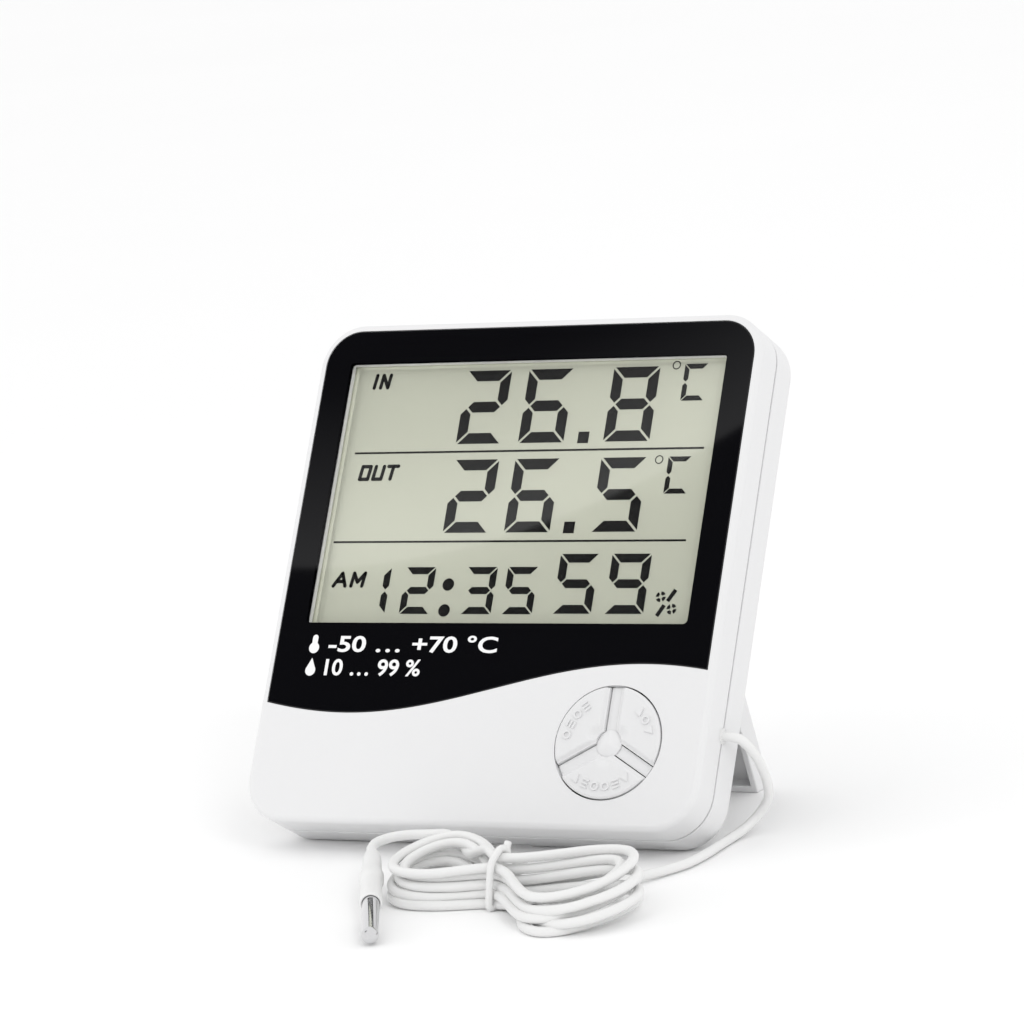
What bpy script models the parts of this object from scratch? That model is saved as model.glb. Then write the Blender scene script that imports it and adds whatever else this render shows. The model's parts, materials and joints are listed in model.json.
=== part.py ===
"""Desktop digital thermometer and hygrometer with a remote probe on a thin lead.

World frame: +X to the right, the display faces -Y, +Z up, the floor at z = 0.  The case is modelled
upright in its own frame (x right, y from the front face backwards, z up the panel), on an empty that
leans it back until it rests on its rear bottom edge and on the foot of the opened stand.
Sizes are in millimetres and become metres through MM.
"""
import math

import bmesh
import bpy
from mathutils import Euler, Matrix, Vector

MM = 0.001
GAP = 0.3                      # clearance between touching pieces

# Case
CASE_W = 100.0
CASE_H = 105.0
CASE_D = 17.0
SEAM_Y = 7.2                   # the front shell ends here
CORNER_R = 9.0
FRONT_EDGE_R = 1.3
REAR_EDGE_R = 4.0
WALL = 1.8
FRONT_WALL = 2.2
REAR_WALL = 1.6
REAR_WALL_MID = CASE_D - REAR_WALL / 2
BEHIND = 20.0                  # where cutters from the back end, clear of the case
LIP_T = 1.0                    # the rear cover's lip, inside the front shell
LIP_REACH = 1.6
LIP_ROOT = (2.0, 3.3)          # its slope into the wall starts and ends here, from the seam
LEAN = math.radians(31.0)

# Display
LENS_T = 0.9
LENS_MARGIN = 1.5              # from the case outline to the lens recess
WINDOW_HALF_W = 43.0
WINDOW_Z = (41.0, 96.8)
LCD_HALF_W = 44.5
LCD_Z = (40.2, 99.4)
LCD_Y = (2.5, 4.0)
WAVE_MID = 27.7                # the lens ends below in a wave
WAVE_RISE = 5.3
WAVE_LOW_X = -30.0
WAVE_RUN = 65.0

# Front buttons: a disc cut into three keys by a Y of bars
KEYS_X = 29.5
KEYS_Z = 17.2
KEYS_R = 11.5
BAR_HALF = 1.15
HUB_R = 2.5
KEY_PROUD = 0.5
KEY_BEVEL = 0.5
KEY_TRAVEL = 0.6
KEY_FLANGE = 0.6               # its width and its thickness
KEY_STEM_R = 1.6
KEY_STEM_REACH = 0.62          # share of the disc's radius
KEY_ANGLES = {"mode": 150.0, "adjust": 30.0, "memory": 270.0}

# Circuit board
BOARD_HALF_W = 40.0
BOARD_Z = (6.0, 67.5)
BOARD_Y = (6.9, 8.1)
BOARD_POSTS = [(-35.0, 33.0), (8.0, 30.0)]
BOARD_POST_R = 2.0
SWITCH_FRONT_Y = 4.4           # tip of a front switch's plunger
REAR_SWITCH_Y = 10.9           # tip of a rear switch's plunger
SWITCH_HALF = 2.0
PLUNGER_R = 1.1
PLUNGER_OUT = 0.5
TOUCH = 0.1                    # left between a key pressed home and its switch

# Battery compartment and its door
BATTERY_R = 5.25
BATTERY_L = 44.5
BATTERY_Y = 10.45
BATTERY_Z = 77.0
TUB_HALF_W = 25.6
TUB_HALF_H = 6.0
TUB_WALL = 2.0
TUB_FLOOR_Y = 5.0
TUB_SKIN = 0.7                 # thickness of the tub's floor
DOOR_LEDGE = 1.4
DOOR_T = 1.1
GROOVE_HALF_W = 5.0
GROOVE_HALF_H = 0.35
GROOVE_DEEP = 0.4
GROOVE_PITCH = 1.4
CONTACT_T = 0.4
CONTACT_HALF = 4.5
BATTERY_START = 1.6            # from the middle of the tub to the middle of the battery
SPRING_WIRE_R = 0.3
SPRING_TURNS = 2.0
SPRING_R = (4.0, 2.2)
SPRING_END_GAP = 0.35

# Stand, folded into a recess of the rear cover, and its hinge
STAND_HALF_W = 37.0
FINGER_NOTCH = (0, 1.0, 9.0)   # x, z and radius
STAND_T = 1.4
STAND_DEPTH = 5.4
HINGE_Z = 57.0
HINGE_R = STAND_DEPTH / 2
HINGE_Y = CASE_D - HINGE_R
STAND_TILT = math.radians(19.0)          # of the opened stand, from upright
STUB_R = 1.2
STUB_L = 1.6
RECESS_SIDE = 0.6
RECESS_FLOOR = 11.0
RECESS_Z = (2.6, 61.0)
RECESS_WALL = 1.2

# Screws
SCREW_X = 43.6
SCREW_ZS = (9.0, 36.0)
SCREW_HEAD_R = 2.1
SCREW_SHANK_R = 1.0
SCREW_SEAT_Y = CASE_D - 2.2
BOSS_R = 2.6

# Small openings of the rear cover
KEYHOLE_Z = 93.5
KEYHOLE_R = 4.5
KEYHOLE_SLOT_R = 2.0
KEYHOLE_RISE = 6.0
VENT_XS = (31.5, 34.7, 37.9, 41.1)
VENT_Z = (71.0, 83.0)
VENT_W = 1.4
REAR_KEY_Z = 64.9
REAR_KEY_R = 1.6
REAR_KEY_FLANGE_R = 2.2
REAR_KEY_FLANGE_T = 0.8
REAR_KEY_TRAVEL = 0.5
REAR_KEY_XS = {"reset": -30.0, "unit": -20.0}

# Probe lead, the hank that holds most of it, and the tie round the hank's waist
CORD_R = 0.95
EXIT_Z = 21.0
EXIT_Y = SEAM_Y + GAP / 2
NOTCH_R = 1.9
NOTCH_X = (45.0, 52.0)
GROMMET_R = 1.6
GROMMET_FLANGE_R = 2.6
GROMMET_FLANGE_X = (45.2, 46.4)
HANK_WAIST = (24.3, -62.9)
HANK_TURN = math.radians(-14.0)
HANK_Z = (0.9, 10.2)
HANK_LEFT = 23.4               # from the waist to the left end
HANK_RIGHT = 31.6
HANK_LEFT_BULGE = 18.0
HANK_RIGHT_BULGE = 29.0
WAIST_HALF = 5.0
TIE_HALF_W = 6.0               # inside the tie, across the hank
TIE_HALF_L = 2.0               # along the hank
TIE_WALL = 0.5

# Probe
SLEEVE_REAR = Vector((-9.4, -51.6, 6.0))
PROBE_END = Vector((12.2, -90.8, 1.8))
SLEEVE_L = 27.0
TIP_R = 1.65
TIP_BORE_R = 1.2

# Where the case's frame stands in the world, so that the object is centred over its origin
REAR_DROP = REAR_EDGE_R * (math.sin(LEAN) + math.cos(LEAN) - 1)
FRONT_REACH = ((CASE_D - FRONT_EDGE_R) * math.cos(LEAN)
               - FRONT_EDGE_R * math.sin(LEAN) + FRONT_EDGE_R)
REAR_REACH = ((CASE_H - REAR_EDGE_R) * math.sin(LEAN)
              - REAR_EDGE_R * math.cos(LEAN) + REAR_EDGE_R)
REAR_EDGE_Y = (FRONT_REACH - REAR_REACH) / 2

for leftover in list(bpy.data.objects):
    bpy.data.objects.remove(leftover, do_unlink=True)


# ---------------------------------------------------------------- helpers

def material(name, colour, roughness, metallic=0.0):
    """Principled material, made once for each name."""
    found = bpy.data.materials.get(name)
    if found:
        return found
    made = bpy.data.materials.new(name)
    made.use_nodes = True
    shader = made.node_tree.nodes["Principled BSDF"]
    shader.inputs["Base Color"].default_value = (*colour, 1.0)
    shader.inputs["Roughness"].default_value = roughness
    shader.inputs["Metallic"].default_value = metallic
    return made


WHITE = ((0.86, 0.86, 0.86), 0.35)
GREY = ((0.55, 0.56, 0.58), 0.45)
BLACK = ((0.01, 0.01, 0.012), 0.12)
STEEL = ((0.62, 0.62, 0.64), 0.28, 1.0)
BRASS = ((0.80, 0.60, 0.28), 0.3, 1.0)
GREEN = ((0.03, 0.20, 0.08), 0.5)
CORD_WHITE = ((0.84, 0.84, 0.82), 0.5)


def place(name, vertices, faces, look, parent=None):
    """One object from points in millimetres and faces, shaded smooth between its sharp edges."""
    mesh = bpy.data.meshes.new(name)
    mesh.from_pydata([Vector(v) * MM for v in vertices], [], faces)
    work = bmesh.new()
    work.from_mesh(mesh)
    bmesh.ops.recalc_face_normals(work, faces=work.faces[:])
    work.to_mesh(mesh)
    work.free()
    mesh.shade_smooth()
    mesh.set_sharp_from_angle(angle=math.radians(35))
    made = bpy.data.objects.new(name, mesh)
    bpy.context.scene.collection.objects.link(made)
    if look:
        made.data.materials.append(material(name, *look))
    made.parent = parent
    return made


def skin(rings, closed=False):
    """Vertices and faces of a body: rings of equal count in order, capped at both ends unless closed."""
    count = len(rings[0])
    vertices = [point for ring in rings for point in ring]
    faces = [] if closed else [tuple(range(count)), tuple(range(len(vertices) - count, len(vertices)))]
    for ring in range(len(rings) if closed else len(rings) - 1):
        low, high = ring * count, (ring + 1) % len(rings) * count
        for k in range(count):
            after = (k + 1) % count
            faces.append((low + k, low + after, high + after, high + k))
    return vertices, faces


def prism(name, outline, y_range, look=None, parent=None):
    """A flat outline of (x, z) points, extruded along y."""
    rings = [[(x, y, z) for x, z in outline] for y in y_range]
    return place(name, *skin(rings), look, parent)


def block(name, x_range, y_range, z_range, look=None, parent=None):
    (x0, x1), (z0, z1) = x_range, z_range
    return prism(name, [(x0, z0), (x1, z0), (x1, z1), (x0, z1)], y_range, look, parent)


def circle(x, z, radius, count=12):
    turn = 2 * math.pi / count
    return [(x + radius * math.cos(k * turn), z + radius * math.sin(k * turn)) for k in range(count)]


def rounded(inset, width=CASE_W, height=CASE_H, radius=CORNER_R, steps=5):
    """Rounded rectangle of (x, z) points, standing on z = 0, moved inwards by inset."""
    bend = max(radius - inset, 0.8)
    points = []
    for corner in range(4):
        right = corner in (0, 3)
        top = corner in (0, 1)
        cx = (width / 2 - inset - bend) * (1 if right else -1)
        cz = height - inset - bend if top else inset + bend
        for step in range(steps + 1):
            angle = math.radians(90 * (corner + step / steps))
            points.append((cx + bend * math.cos(angle), cz + bend * math.sin(angle)))
    return points


def shell(name, profile, look, parent):
    """A hollow half of the case: its section, as (inset, y) points, follows the case outline."""
    rings = [[(x, y, z) for x, z in rounded(inset)] for inset, y in profile]
    return place(name, *skin(rings), look, parent)


def turned(name, sections, look, parent, count=14, axis="Y", at=(0, 0, 0)):
    """A solid of revolution: sections are (radius, distance along the axis)."""
    rings = []
    for radius, along in sections:
        ring = []
        for u, v in circle(0, 0, radius, count):
            if axis == "Y":
                ring.append((at[0] + u, at[1] + along, at[2] + v))
            elif axis == "X":
                ring.append((at[0] + along, at[1] + u, at[2] + v))
            else:
                ring.append((at[0] + u, at[1] + v, at[2] + along))
        rings.append(ring)
    return place(name, *skin(rings), look, parent)


def combine(target, tool, operation):
    """Boolean modifier; the tool stays as a hidden wire guide."""
    tool.hide_render = True
    tool.display_type = "WIRE"
    step = target.modifiers.new(operation.lower() + "_" + tool.name, "BOOLEAN")
    step.operation = operation
    step.solver = "EXACT"
    step.object = tool
    tool.hide_set(True)


def cut(target, tool):
    combine(target, tool, "DIFFERENCE")


def add(target, tool):
    combine(target, tool, "UNION")


def empty(name, location, lean=0.0, parent=None):
    made = bpy.data.objects.new(name, None)
    bpy.context.scene.collection.objects.link(made)
    made.location = Vector(location) * MM
    made.rotation_euler = Euler((lean, 0, 0))
    made.parent = parent
    return made


# ---------------------------------------------------------------- frames

case_origin = (0.0,
               REAR_EDGE_Y - CASE_D * math.cos(LEAN),
               CASE_D * math.sin(LEAN) - REAR_DROP)
case = empty("case_axis", case_origin, -LEAN)
case_matrix = Matrix.Translation(case_origin) @ Matrix.Rotation(-LEAN, 4, "X")


# ---------------------------------------------------------------- front shell and lens

def lens_outline(inset):
    """The case outline above, a wave below."""
    margin = LENS_MARGIN + inset
    top = [p for p in rounded(margin) if p[1] > CASE_H / 2]
    half = CASE_W / 2 - margin
    steps = 18
    wave = []
    for k in range(steps + 1):
        x = -half + 2 * half * k / steps
        swing = math.cos(math.pi * (x - WAVE_LOW_X) / WAVE_RUN)
        wave.append((x, WAVE_MID - WAVE_RISE * swing + inset))
    return top + wave


def sector_outline(middle, inset, widen=0.0):
    """One third of the disc, between two bars, with its inner corner scooped out round the hub."""
    outer = KEYS_R - inset + widen
    inner = HUB_R + inset - widen
    offset = BAR_HALF + inset - widen
    half = math.radians(60)
    points = []
    for radius, count, sign in ((outer, 10, 1), (inner, 3, -1)):
        reach = half - math.asin(offset / radius)
        for k in range(count + 1):
            angle = math.radians(middle) + sign * reach * (2 * k / count - 1)
            points.append((KEYS_X + radius * math.cos(angle), KEYS_Z + radius * math.sin(angle)))
    return points


def make_front_shell():
    body = shell("front_shell",
                 [(FRONT_EDGE_R, 0), (FRONT_EDGE_R * 0.3, FRONT_EDGE_R * 0.3), (0, FRONT_EDGE_R),
                  (0, SEAM_Y), (WALL, SEAM_Y), (WALL, FRONT_WALL)], WHITE, case)
    for k, (x, z) in enumerate(screw_places()):
        add(body, turned(f"front_post_{k}", [(BOSS_R, 1.5), (BOSS_R, SEAM_Y)], None, case, at=(x, 0, z)))
    for k, (x, z) in enumerate(BOARD_POSTS):
        add(body, turned(f"board_post_{k}", [(BOARD_POST_R, 1.5), (BOARD_POST_R, BOARD_Y[0] - GAP)],
                         None, case, at=(x, 0, z)))
    cut(body, prism("lens_recess", lens_outline(0), (-1, LENS_T + GAP), None, case))
    cut(body, block("window", (-WINDOW_HALF_W, WINDOW_HALF_W), (0.5, 3), WINDOW_Z, None, case))
    for name, middle in KEY_ANGLES.items():
        cut(body, prism(f"{name}_opening", sector_outline(middle, 0), (-1, 3), None, case))
    for k, (x, z) in enumerate(screw_places()):
        cut(body, turned(f"post_bore_{k}", [(SCREW_SHANK_R + GAP, 2.6), (SCREW_SHANK_R + GAP, 9)],
                         None, case, 10, at=(x, 0, z)))
    for k, (x, z) in enumerate(BOARD_POSTS):
        cut(body, turned(f"board_bore_{k}", [(1.0, 3.2), (1.0, 9)], None, case, 8, at=(x, 0, z)))
    cut(body, turned("front_lead_notch", [(NOTCH_R, x) for x in NOTCH_X], None, case,
                     axis="X", at=(0, EXIT_Y, EXIT_Z)))


def screw_places():
    return [(side * SCREW_X, z) for side in (-1, 1) for z in SCREW_ZS]


def make_display():
    prism("display_lens", lens_outline(GAP), (0, LENS_T), BLACK, case)
    block("lcd_panel", (-LCD_HALF_W, LCD_HALF_W), LCD_Y, LCD_Z, ((0.52, 0.54, 0.45), 0.3), case)
    top = [p for p in rounded(WALL + 1.2) if p[1] > CASE_H / 2]
    half = CASE_W / 2 - WALL - 1.2
    low = LCD_Z[0] - 1.3
    holder = prism("lcd_holder", top + [(-half, low), (half, low)], LCD_Y, GREY, case)
    cut(holder, block("holder_opening", (-LCD_HALF_W - GAP, LCD_HALF_W + GAP), (1, 6),
                      (LCD_Z[0] - GAP, LCD_Z[1] + GAP), None, case))
    block("contact_strip", (-38, 38), (LCD_Y[1] + GAP, BOARD_Y[0] - GAP),
          (LCD_Z[0] + 0.2, LCD_Z[0] + 2.4), ((0.75, 0.45, 0.5), 0.6), case)


# ---------------------------------------------------------------- rear cover

def make_rear_cover():
    start = SEAM_Y + GAP
    profile = [(REAR_EDGE_R, CASE_D)]
    for degrees in (60, 30, 0):
        turn = math.radians(degrees)
        profile.append((REAR_EDGE_R * (1 - math.cos(turn)),
                        CASE_D - REAR_EDGE_R * (1 - math.sin(turn))))
    lip = (WALL + GAP, WALL + GAP + LIP_T)
    profile += [(0, start), (lip[0], start), (lip[0], start - LIP_REACH), (lip[1], start - LIP_REACH),
                (lip[1], start + LIP_ROOT[0]), (WALL, start + LIP_ROOT[1]), (WALL, CASE_D - REAR_EDGE_R),
                (WALL + 2.0, CASE_D - REAR_WALL)]
    cover = shell("rear_cover", profile, WHITE, case)

    half = STAND_HALF_W + RECESS_SIDE
    add(cover, block("recess_block", (-half - RECESS_WALL - 1.2, half + RECESS_WALL + 1.2),
                     (RECESS_FLOOR - RECESS_WALL, REAR_WALL_MID),
                     (RECESS_Z[0] - RECESS_WALL, RECESS_Z[1] + RECESS_WALL), None, case))
    add(cover, block("tub_block", (-TUB_HALF_W - TUB_WALL, TUB_HALF_W + TUB_WALL),
                     (TUB_FLOOR_Y - TUB_SKIN, REAR_WALL_MID),
                     (BATTERY_Z - TUB_HALF_H - TUB_WALL, BATTERY_Z + TUB_HALF_H + TUB_WALL), None, case))
    for k, (x, z) in enumerate(screw_places()):
        add(cover, turned(f"rear_post_{k}", [(BOSS_R, start), (BOSS_R, REAR_WALL_MID)],
                          None, case, at=(x, 0, z)))

    cut(cover, block("stand_recess", (-half, half), (RECESS_FLOOR, BEHIND), RECESS_Z, None, case))
    cut(cover, turned("hinge_bores", [(STUB_R + GAP, -half - 1.8), (STUB_R + GAP, half + 1.8)],
                      None, case, 12, "X", (0, HINGE_Y, HINGE_Z)))
    cut(cover, prism("finger_notch", circle(*FINGER_NOTCH, 20), (RECESS_FLOOR + 1.5, BEHIND), None, case))
    cut(cover, block("tub", (-TUB_HALF_W, TUB_HALF_W), (TUB_FLOOR_Y, BEHIND),
                     (BATTERY_Z - TUB_HALF_H, BATTERY_Z + TUB_HALF_H), None, case))
    cut(cover, block("door_seat", (-TUB_HALF_W - DOOR_LEDGE, TUB_HALF_W + DOOR_LEDGE),
                     (CASE_D - DOOR_T - GAP, BEHIND),
                     (BATTERY_Z - TUB_HALF_H - DOOR_LEDGE, BATTERY_Z + TUB_HALF_H + DOOR_LEDGE), None, case))
    for k, (x, z) in enumerate(screw_places()):
        cut(cover, turned(f"screw_bore_{k}",
                          [(SCREW_SHANK_R + 0.4, 5), (SCREW_SHANK_R + 0.4, SCREW_SEAT_Y),
                           (SCREW_HEAD_R + GAP, SCREW_SEAT_Y), (SCREW_HEAD_R + GAP, BEHIND)],
                          None, case, at=(x, 0, z)))
    for name, x in REAR_KEY_XS.items():
        cut(cover, turned(f"{name}_opening", [(REAR_KEY_R + GAP, 14), (REAR_KEY_R + GAP, BEHIND)],
                          None, case, at=(x, 0, REAR_KEY_Z)))
    cut(cover, prism("keyhole", keyhole_outline(), (13, BEHIND), None, case))
    for side in (-1, 1):
        for k, x in enumerate(VENT_XS):
            cut(cover, block(f"vent_{side}_{k}", (side * x - VENT_W / 2, side * x + VENT_W / 2),
                             (14, BEHIND), VENT_Z, None, case))
    cut(cover, turned("rear_lead_notch", [(NOTCH_R, x) for x in NOTCH_X], None, case,
                      axis="X", at=(0, EXIT_Y, EXIT_Z)))


def keyhole_outline():
    """A round hole for a screw's head, with a slot above it for the shank."""
    opening = math.asin(KEYHOLE_SLOT_R / KEYHOLE_R)
    points = []
    for k in range(15):
        angle = math.radians(90) + opening + (2 * math.pi - 2 * opening) * k / 14
        points.append((KEYHOLE_R * math.cos(angle), KEYHOLE_Z + KEYHOLE_R * math.sin(angle)))
    for k in range(7):
        angle = math.pi * k / 6
        points.append((KEYHOLE_SLOT_R * math.cos(angle),
                       KEYHOLE_Z + KEYHOLE_RISE + KEYHOLE_SLOT_R * math.sin(angle)))
    return points


# ---------------------------------------------------------------- buttons and switches

def make_front_key(name, middle):
    """A sector key with a small bevel, a flange behind the wall and a stem to its switch."""
    face = [(x, -KEY_PROUD, z) for x, z in sector_outline(middle, GAP + KEY_BEVEL)]
    side = [(x, -KEY_PROUD + KEY_BEVEL, z) for x, z in sector_outline(middle, GAP)]
    neck = [(x, FRONT_WALL + GAP, z) for x, z in sector_outline(middle, GAP)]
    flange = [[(x, y, z) for x, z in sector_outline(middle, GAP, KEY_FLANGE)]
              for y in (FRONT_WALL + GAP, FRONT_WALL + GAP + KEY_FLANGE)]
    key = place(f"{name}_button", *skin([face, side, neck, *flange]), WHITE, case)
    x, z = key_centre(middle)
    stem_end = SWITCH_FRONT_Y - KEY_TRAVEL - TOUCH
    add(key, turned(f"{name}_stem", [(KEY_STEM_R, FRONT_WALL + 0.6), (KEY_STEM_R, stem_end)],
                    None, case, 10, at=(x, 0, z)))


def key_centre(middle):
    reach = KEY_STEM_REACH * KEYS_R
    return (KEYS_X + reach * math.cos(math.radians(middle)), KEYS_Z + reach * math.sin(math.radians(middle)))


def make_switch(name, x, z, plunger_y, board_y):
    """A tactile switch: a square body with a round plunger, standing on the board."""
    toward = 1 if plunger_y < board_y else -1
    shoulder = plunger_y + toward * PLUNGER_OUT
    half = SWITCH_HALF
    body = block(name, (x - half, x + half), sorted((shoulder, board_y - toward * 0.1)), (z - half, z + half),
                 ((0.05, 0.05, 0.05), 0.5), case)
    ends = sorted((plunger_y, shoulder + toward * 0.4))
    add(body, turned(f"{name}_plunger", [(PLUNGER_R, y) for y in ends], None, case, 10, at=(x, 0, z)))


def make_rear_key(name, x):
    """A small round push key with a flange inside the rear wall."""
    inner = CASE_D - REAR_WALL - GAP
    tip = REAR_SWITCH_Y + REAR_KEY_TRAVEL + TOUCH
    shoulder = inner - REAR_KEY_FLANGE_T
    turned(f"{name}_button",
           [(1.0, tip), (1.0, shoulder), (REAR_KEY_FLANGE_R, shoulder), (REAR_KEY_FLANGE_R, inner),
            (REAR_KEY_R, inner),
            (REAR_KEY_R, CASE_D - 0.1), (REAR_KEY_R - 0.3, CASE_D + 0.2)],
           WHITE, case, at=(x, 0, REAR_KEY_Z))


# ---------------------------------------------------------------- board and battery

def make_board():
    board = block("main_board", (-BOARD_HALF_W, BOARD_HALF_W), BOARD_Y, BOARD_Z, GREEN, case)
    for k, (x, z) in enumerate(BOARD_POSTS):
        cut(board, turned(f"board_hole_{k}", [(1.3, 5), (1.3, 10)], None, case, 10, at=(x, 0, z)))
        turned(f"board_screw_{k + 1}",
               [(0.7, 3.6), (0.7, BOARD_Y[1] + GAP), (1.8, BOARD_Y[1] + GAP), (1.5, BOARD_Y[1] + 1.2)],
               STEEL, case, 10, at=(x, 0, z))
    back = BOARD_Y[1] + GAP
    turned("controller_chip", [(5.0, back), (4.2, back + 0.8), (1.5, back + 1.2)],
           ((0.02, 0.02, 0.02), 0.3), case, 16, at=(-6, 0, 44))
    block("clock_crystal", (-21, -13), (back, back + 1.2), (40, 41.6), STEEL, case)
    block("humidity_sensor", (33, 38), (back, back + 2.5), (63.4, 66.9), ((0.82, 0.82, 0.8), 0.5), case)
    turned("room_thermistor", [(0.5, 0), (1.1, 0.7), (1.1, 2.0), (0.5, 2.7)], ((0.25, 0.12, 0.05), 0.4),
           case, 8, "Z", (28.5, back + 1.4, 63.6))
    front = BOARD_Y[0] - GAP
    turned("buzzer", [(6.0, front - 3.0), (6.0, front)], ((0.03, 0.03, 0.03), 0.5), case, 18, at=(-22, 0, 18))
    block("probe_socket", (33, 38), (front - 3.2, front), (31.5, 36.5), ((0.85, 0.83, 0.75), 0.5), case)


def make_battery():
    floor = -BATTERY_L / 2 + BATTERY_START
    end = floor + BATTERY_L
    rim = BATTERY_R - 0.6
    turned("battery", [(rim, floor), (BATTERY_R, floor + 0.6), (BATTERY_R, end - 1.8), (rim, end - 1.2),
                       (1.9, end - 1.2), (1.9, end)],
           ((0.12, 0.22, 0.45), 0.35), case, 20, "X", (0, BATTERY_Y, BATTERY_Z))
    for name, side in (("negative_contact", -1), ("positive_contact", 1)):
        x = side * (TUB_HALF_W - GAP)
        block(name, sorted((x, x - side * CONTACT_T)), (BATTERY_Y - CONTACT_HALF, BATTERY_Y + CONTACT_HALF),
              (BATTERY_Z - CONTACT_HALF, BATTERY_Z + CONTACT_HALF), STEEL, case)
    coil_start = -TUB_HALF_W + 2 * GAP + CONTACT_T + SPRING_END_GAP
    coil_end = floor - SPRING_WIRE_R - SPRING_END_GAP
    points = []
    for k in range(int(SPRING_TURNS * 10) + 1):
        share = k / (SPRING_TURNS * 10)
        angle = 2 * math.pi * SPRING_TURNS * share
        radius = SPRING_R[0] + (SPRING_R[1] - SPRING_R[0]) * share
        points.append((coil_start + (coil_end - coil_start) * share,
                       BATTERY_Y + radius * math.cos(angle), BATTERY_Z + radius * math.sin(angle)))
    wire("battery_spring", points, SPRING_WIRE_R, 1, BRASS, case)


def wire(name, points, radius, resolution, look, parent=None):
    """A round wire or cord through the given points, with closed ends."""
    data = bpy.data.curves.new(name, "CURVE")
    data.dimensions = "3D"
    data.bevel_depth = radius * MM
    data.bevel_resolution = resolution
    data.use_fill_caps = True
    line = data.splines.new("POLY")
    line.points.add(len(points) - 1)
    for spot, point in zip(line.points, points):
        spot.co = (*(Vector(point) * MM), 1.0)
    made = bpy.data.objects.new(name, data)
    bpy.context.scene.collection.objects.link(made)
    data.materials.append(material(name, *look))
    made.parent = parent
    return made


def make_door():
    half_w = TUB_HALF_W + DOOR_LEDGE - GAP
    half_h = TUB_HALF_H + DOOR_LEDGE - GAP
    door = block("battery_door", (-half_w, half_w), (CASE_D - DOOR_T, CASE_D),
                 (BATTERY_Z - half_h, BATTERY_Z + half_h), WHITE, case)
    for k in range(3):
        z = BATTERY_Z + half_h - 3.0 - GROOVE_PITCH * k
        cut(door, block(f"grip_groove_{k}", (-GROOVE_HALF_W, GROOVE_HALF_W), (CASE_D - GROOVE_DEEP, BEHIND),
                        (z - GROOVE_HALF_H, z + GROOVE_HALF_H), None, case))


def make_screws():
    seat = SCREW_SEAT_Y
    for k, (x, z) in enumerate(screw_places()):
        turned(f"case_screw_{k + 1}",
               [(0.5, 3.2), (SCREW_SHANK_R, 4.2), (SCREW_SHANK_R, seat + GAP), (SCREW_HEAD_R, seat + GAP),
                (SCREW_HEAD_R, seat + 1.4), (SCREW_HEAD_R - 0.6, seat + 1.9)],
               STEEL, case, 12, at=(x, 0, z))


# ---------------------------------------------------------------- stand

def make_stand():
    """A shallow tray that turns on two stubs; its foot is cut level with the floor when open."""
    axis_height = ((CASE_D - HINGE_Y) * math.sin(LEAN) + HINGE_Z * math.cos(LEAN) - REAR_DROP)
    open_angle = STAND_TILT + LEAN
    axis = empty("stand_axis", (0, HINGE_Y, HINGE_Z), open_angle, case)

    def floor_reach(out):
        """Distance down the stand at which the floor lies, for a point that far out from the axis."""
        return (axis_height + out * math.sin(STAND_TILT)) / math.cos(STAND_TILT)

    inner, outer = -HINGE_R, HINGE_R
    top = []
    for degrees in (0, 30, 60, 90, 120, 150, 180):
        turn = math.radians(degrees)
        top.append((HINGE_R * math.cos(turn), HINGE_R * math.sin(turn)))
    side_view = top + [(inner, -floor_reach(inner)), (outer, -floor_reach(outer))]
    rings = [[(x, y, z) for y, z in side_view] for x in (-STAND_HALF_W, STAND_HALF_W)]
    tray = place("stand", *skin(rings), WHITE, axis)

    pocket_half = STAND_HALF_W - STAND_T
    low = -floor_reach(outer - STAND_T) + STAND_T + 0.2
    slope = math.tan(STAND_TILT) * (outer - STAND_T - (inner - 1))
    pocket = [(outer - STAND_T, -HINGE_R - 1.0), (inner - 1, -HINGE_R - 1.0),
              (inner - 1, low + slope), (outer - STAND_T, low)]
    rings = [[(x, y, z) for y, z in pocket] for x in (-pocket_half, pocket_half)]
    cut(tray, place("stand_pocket", *skin(rings), None, axis))
    reach = STAND_HALF_W + STUB_L
    add(tray, turned("stand_stubs", [(STUB_R, -reach), (STUB_R, reach)], None, axis, 12, "X"))


# ---------------------------------------------------------------- probe lead

def smooth(points, spacing):
    """Points about one spacing apart on a Catmull-Rom curve through the given ones."""
    line = [Vector(p) for p in points]
    line = [2 * line[0] - line[1]] + line + [2 * line[-1] - line[-2]]
    result = [line[1]]
    for k in range(1, len(line) - 2):
        before, here, there, after = line[k - 1:k + 3]
        steps = max(1, round((there - here).length / spacing))
        for step in range(1, steps + 1):
            t = step / steps
            result.append(0.5 * (2 * here + (there - before) * t
                                 + (2 * before - 5 * here + 4 * there - after) * t * t
                                 + (3 * here - before - 3 * there + after) * t ** 3))
    return result


def hank_point(along, across):
    turn = Matrix.Rotation(HANK_TURN, 2)
    spot = turn @ Vector((along, across))
    return (HANK_WAIST[0] + spot.x, HANK_WAIST[1] + spot.y)


def make_hank():
    outline = []
    for k in range(40):
        t = 2 * math.pi * k / 40
        reach, bulge = ((HANK_RIGHT, HANK_RIGHT_BULGE) if math.cos(t) > 0
                        else (HANK_LEFT, HANK_LEFT_BULGE))
        outline.append(hank_point(reach * math.cos(t),
                                  math.sin(t) * (WAIST_HALF + bulge * math.cos(t) ** 2)))
    rings = [[(x, y, z) for x, y in outline] for z in HANK_Z]
    place("cable_hank", *skin(rings), CORD_WHITE)


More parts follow.
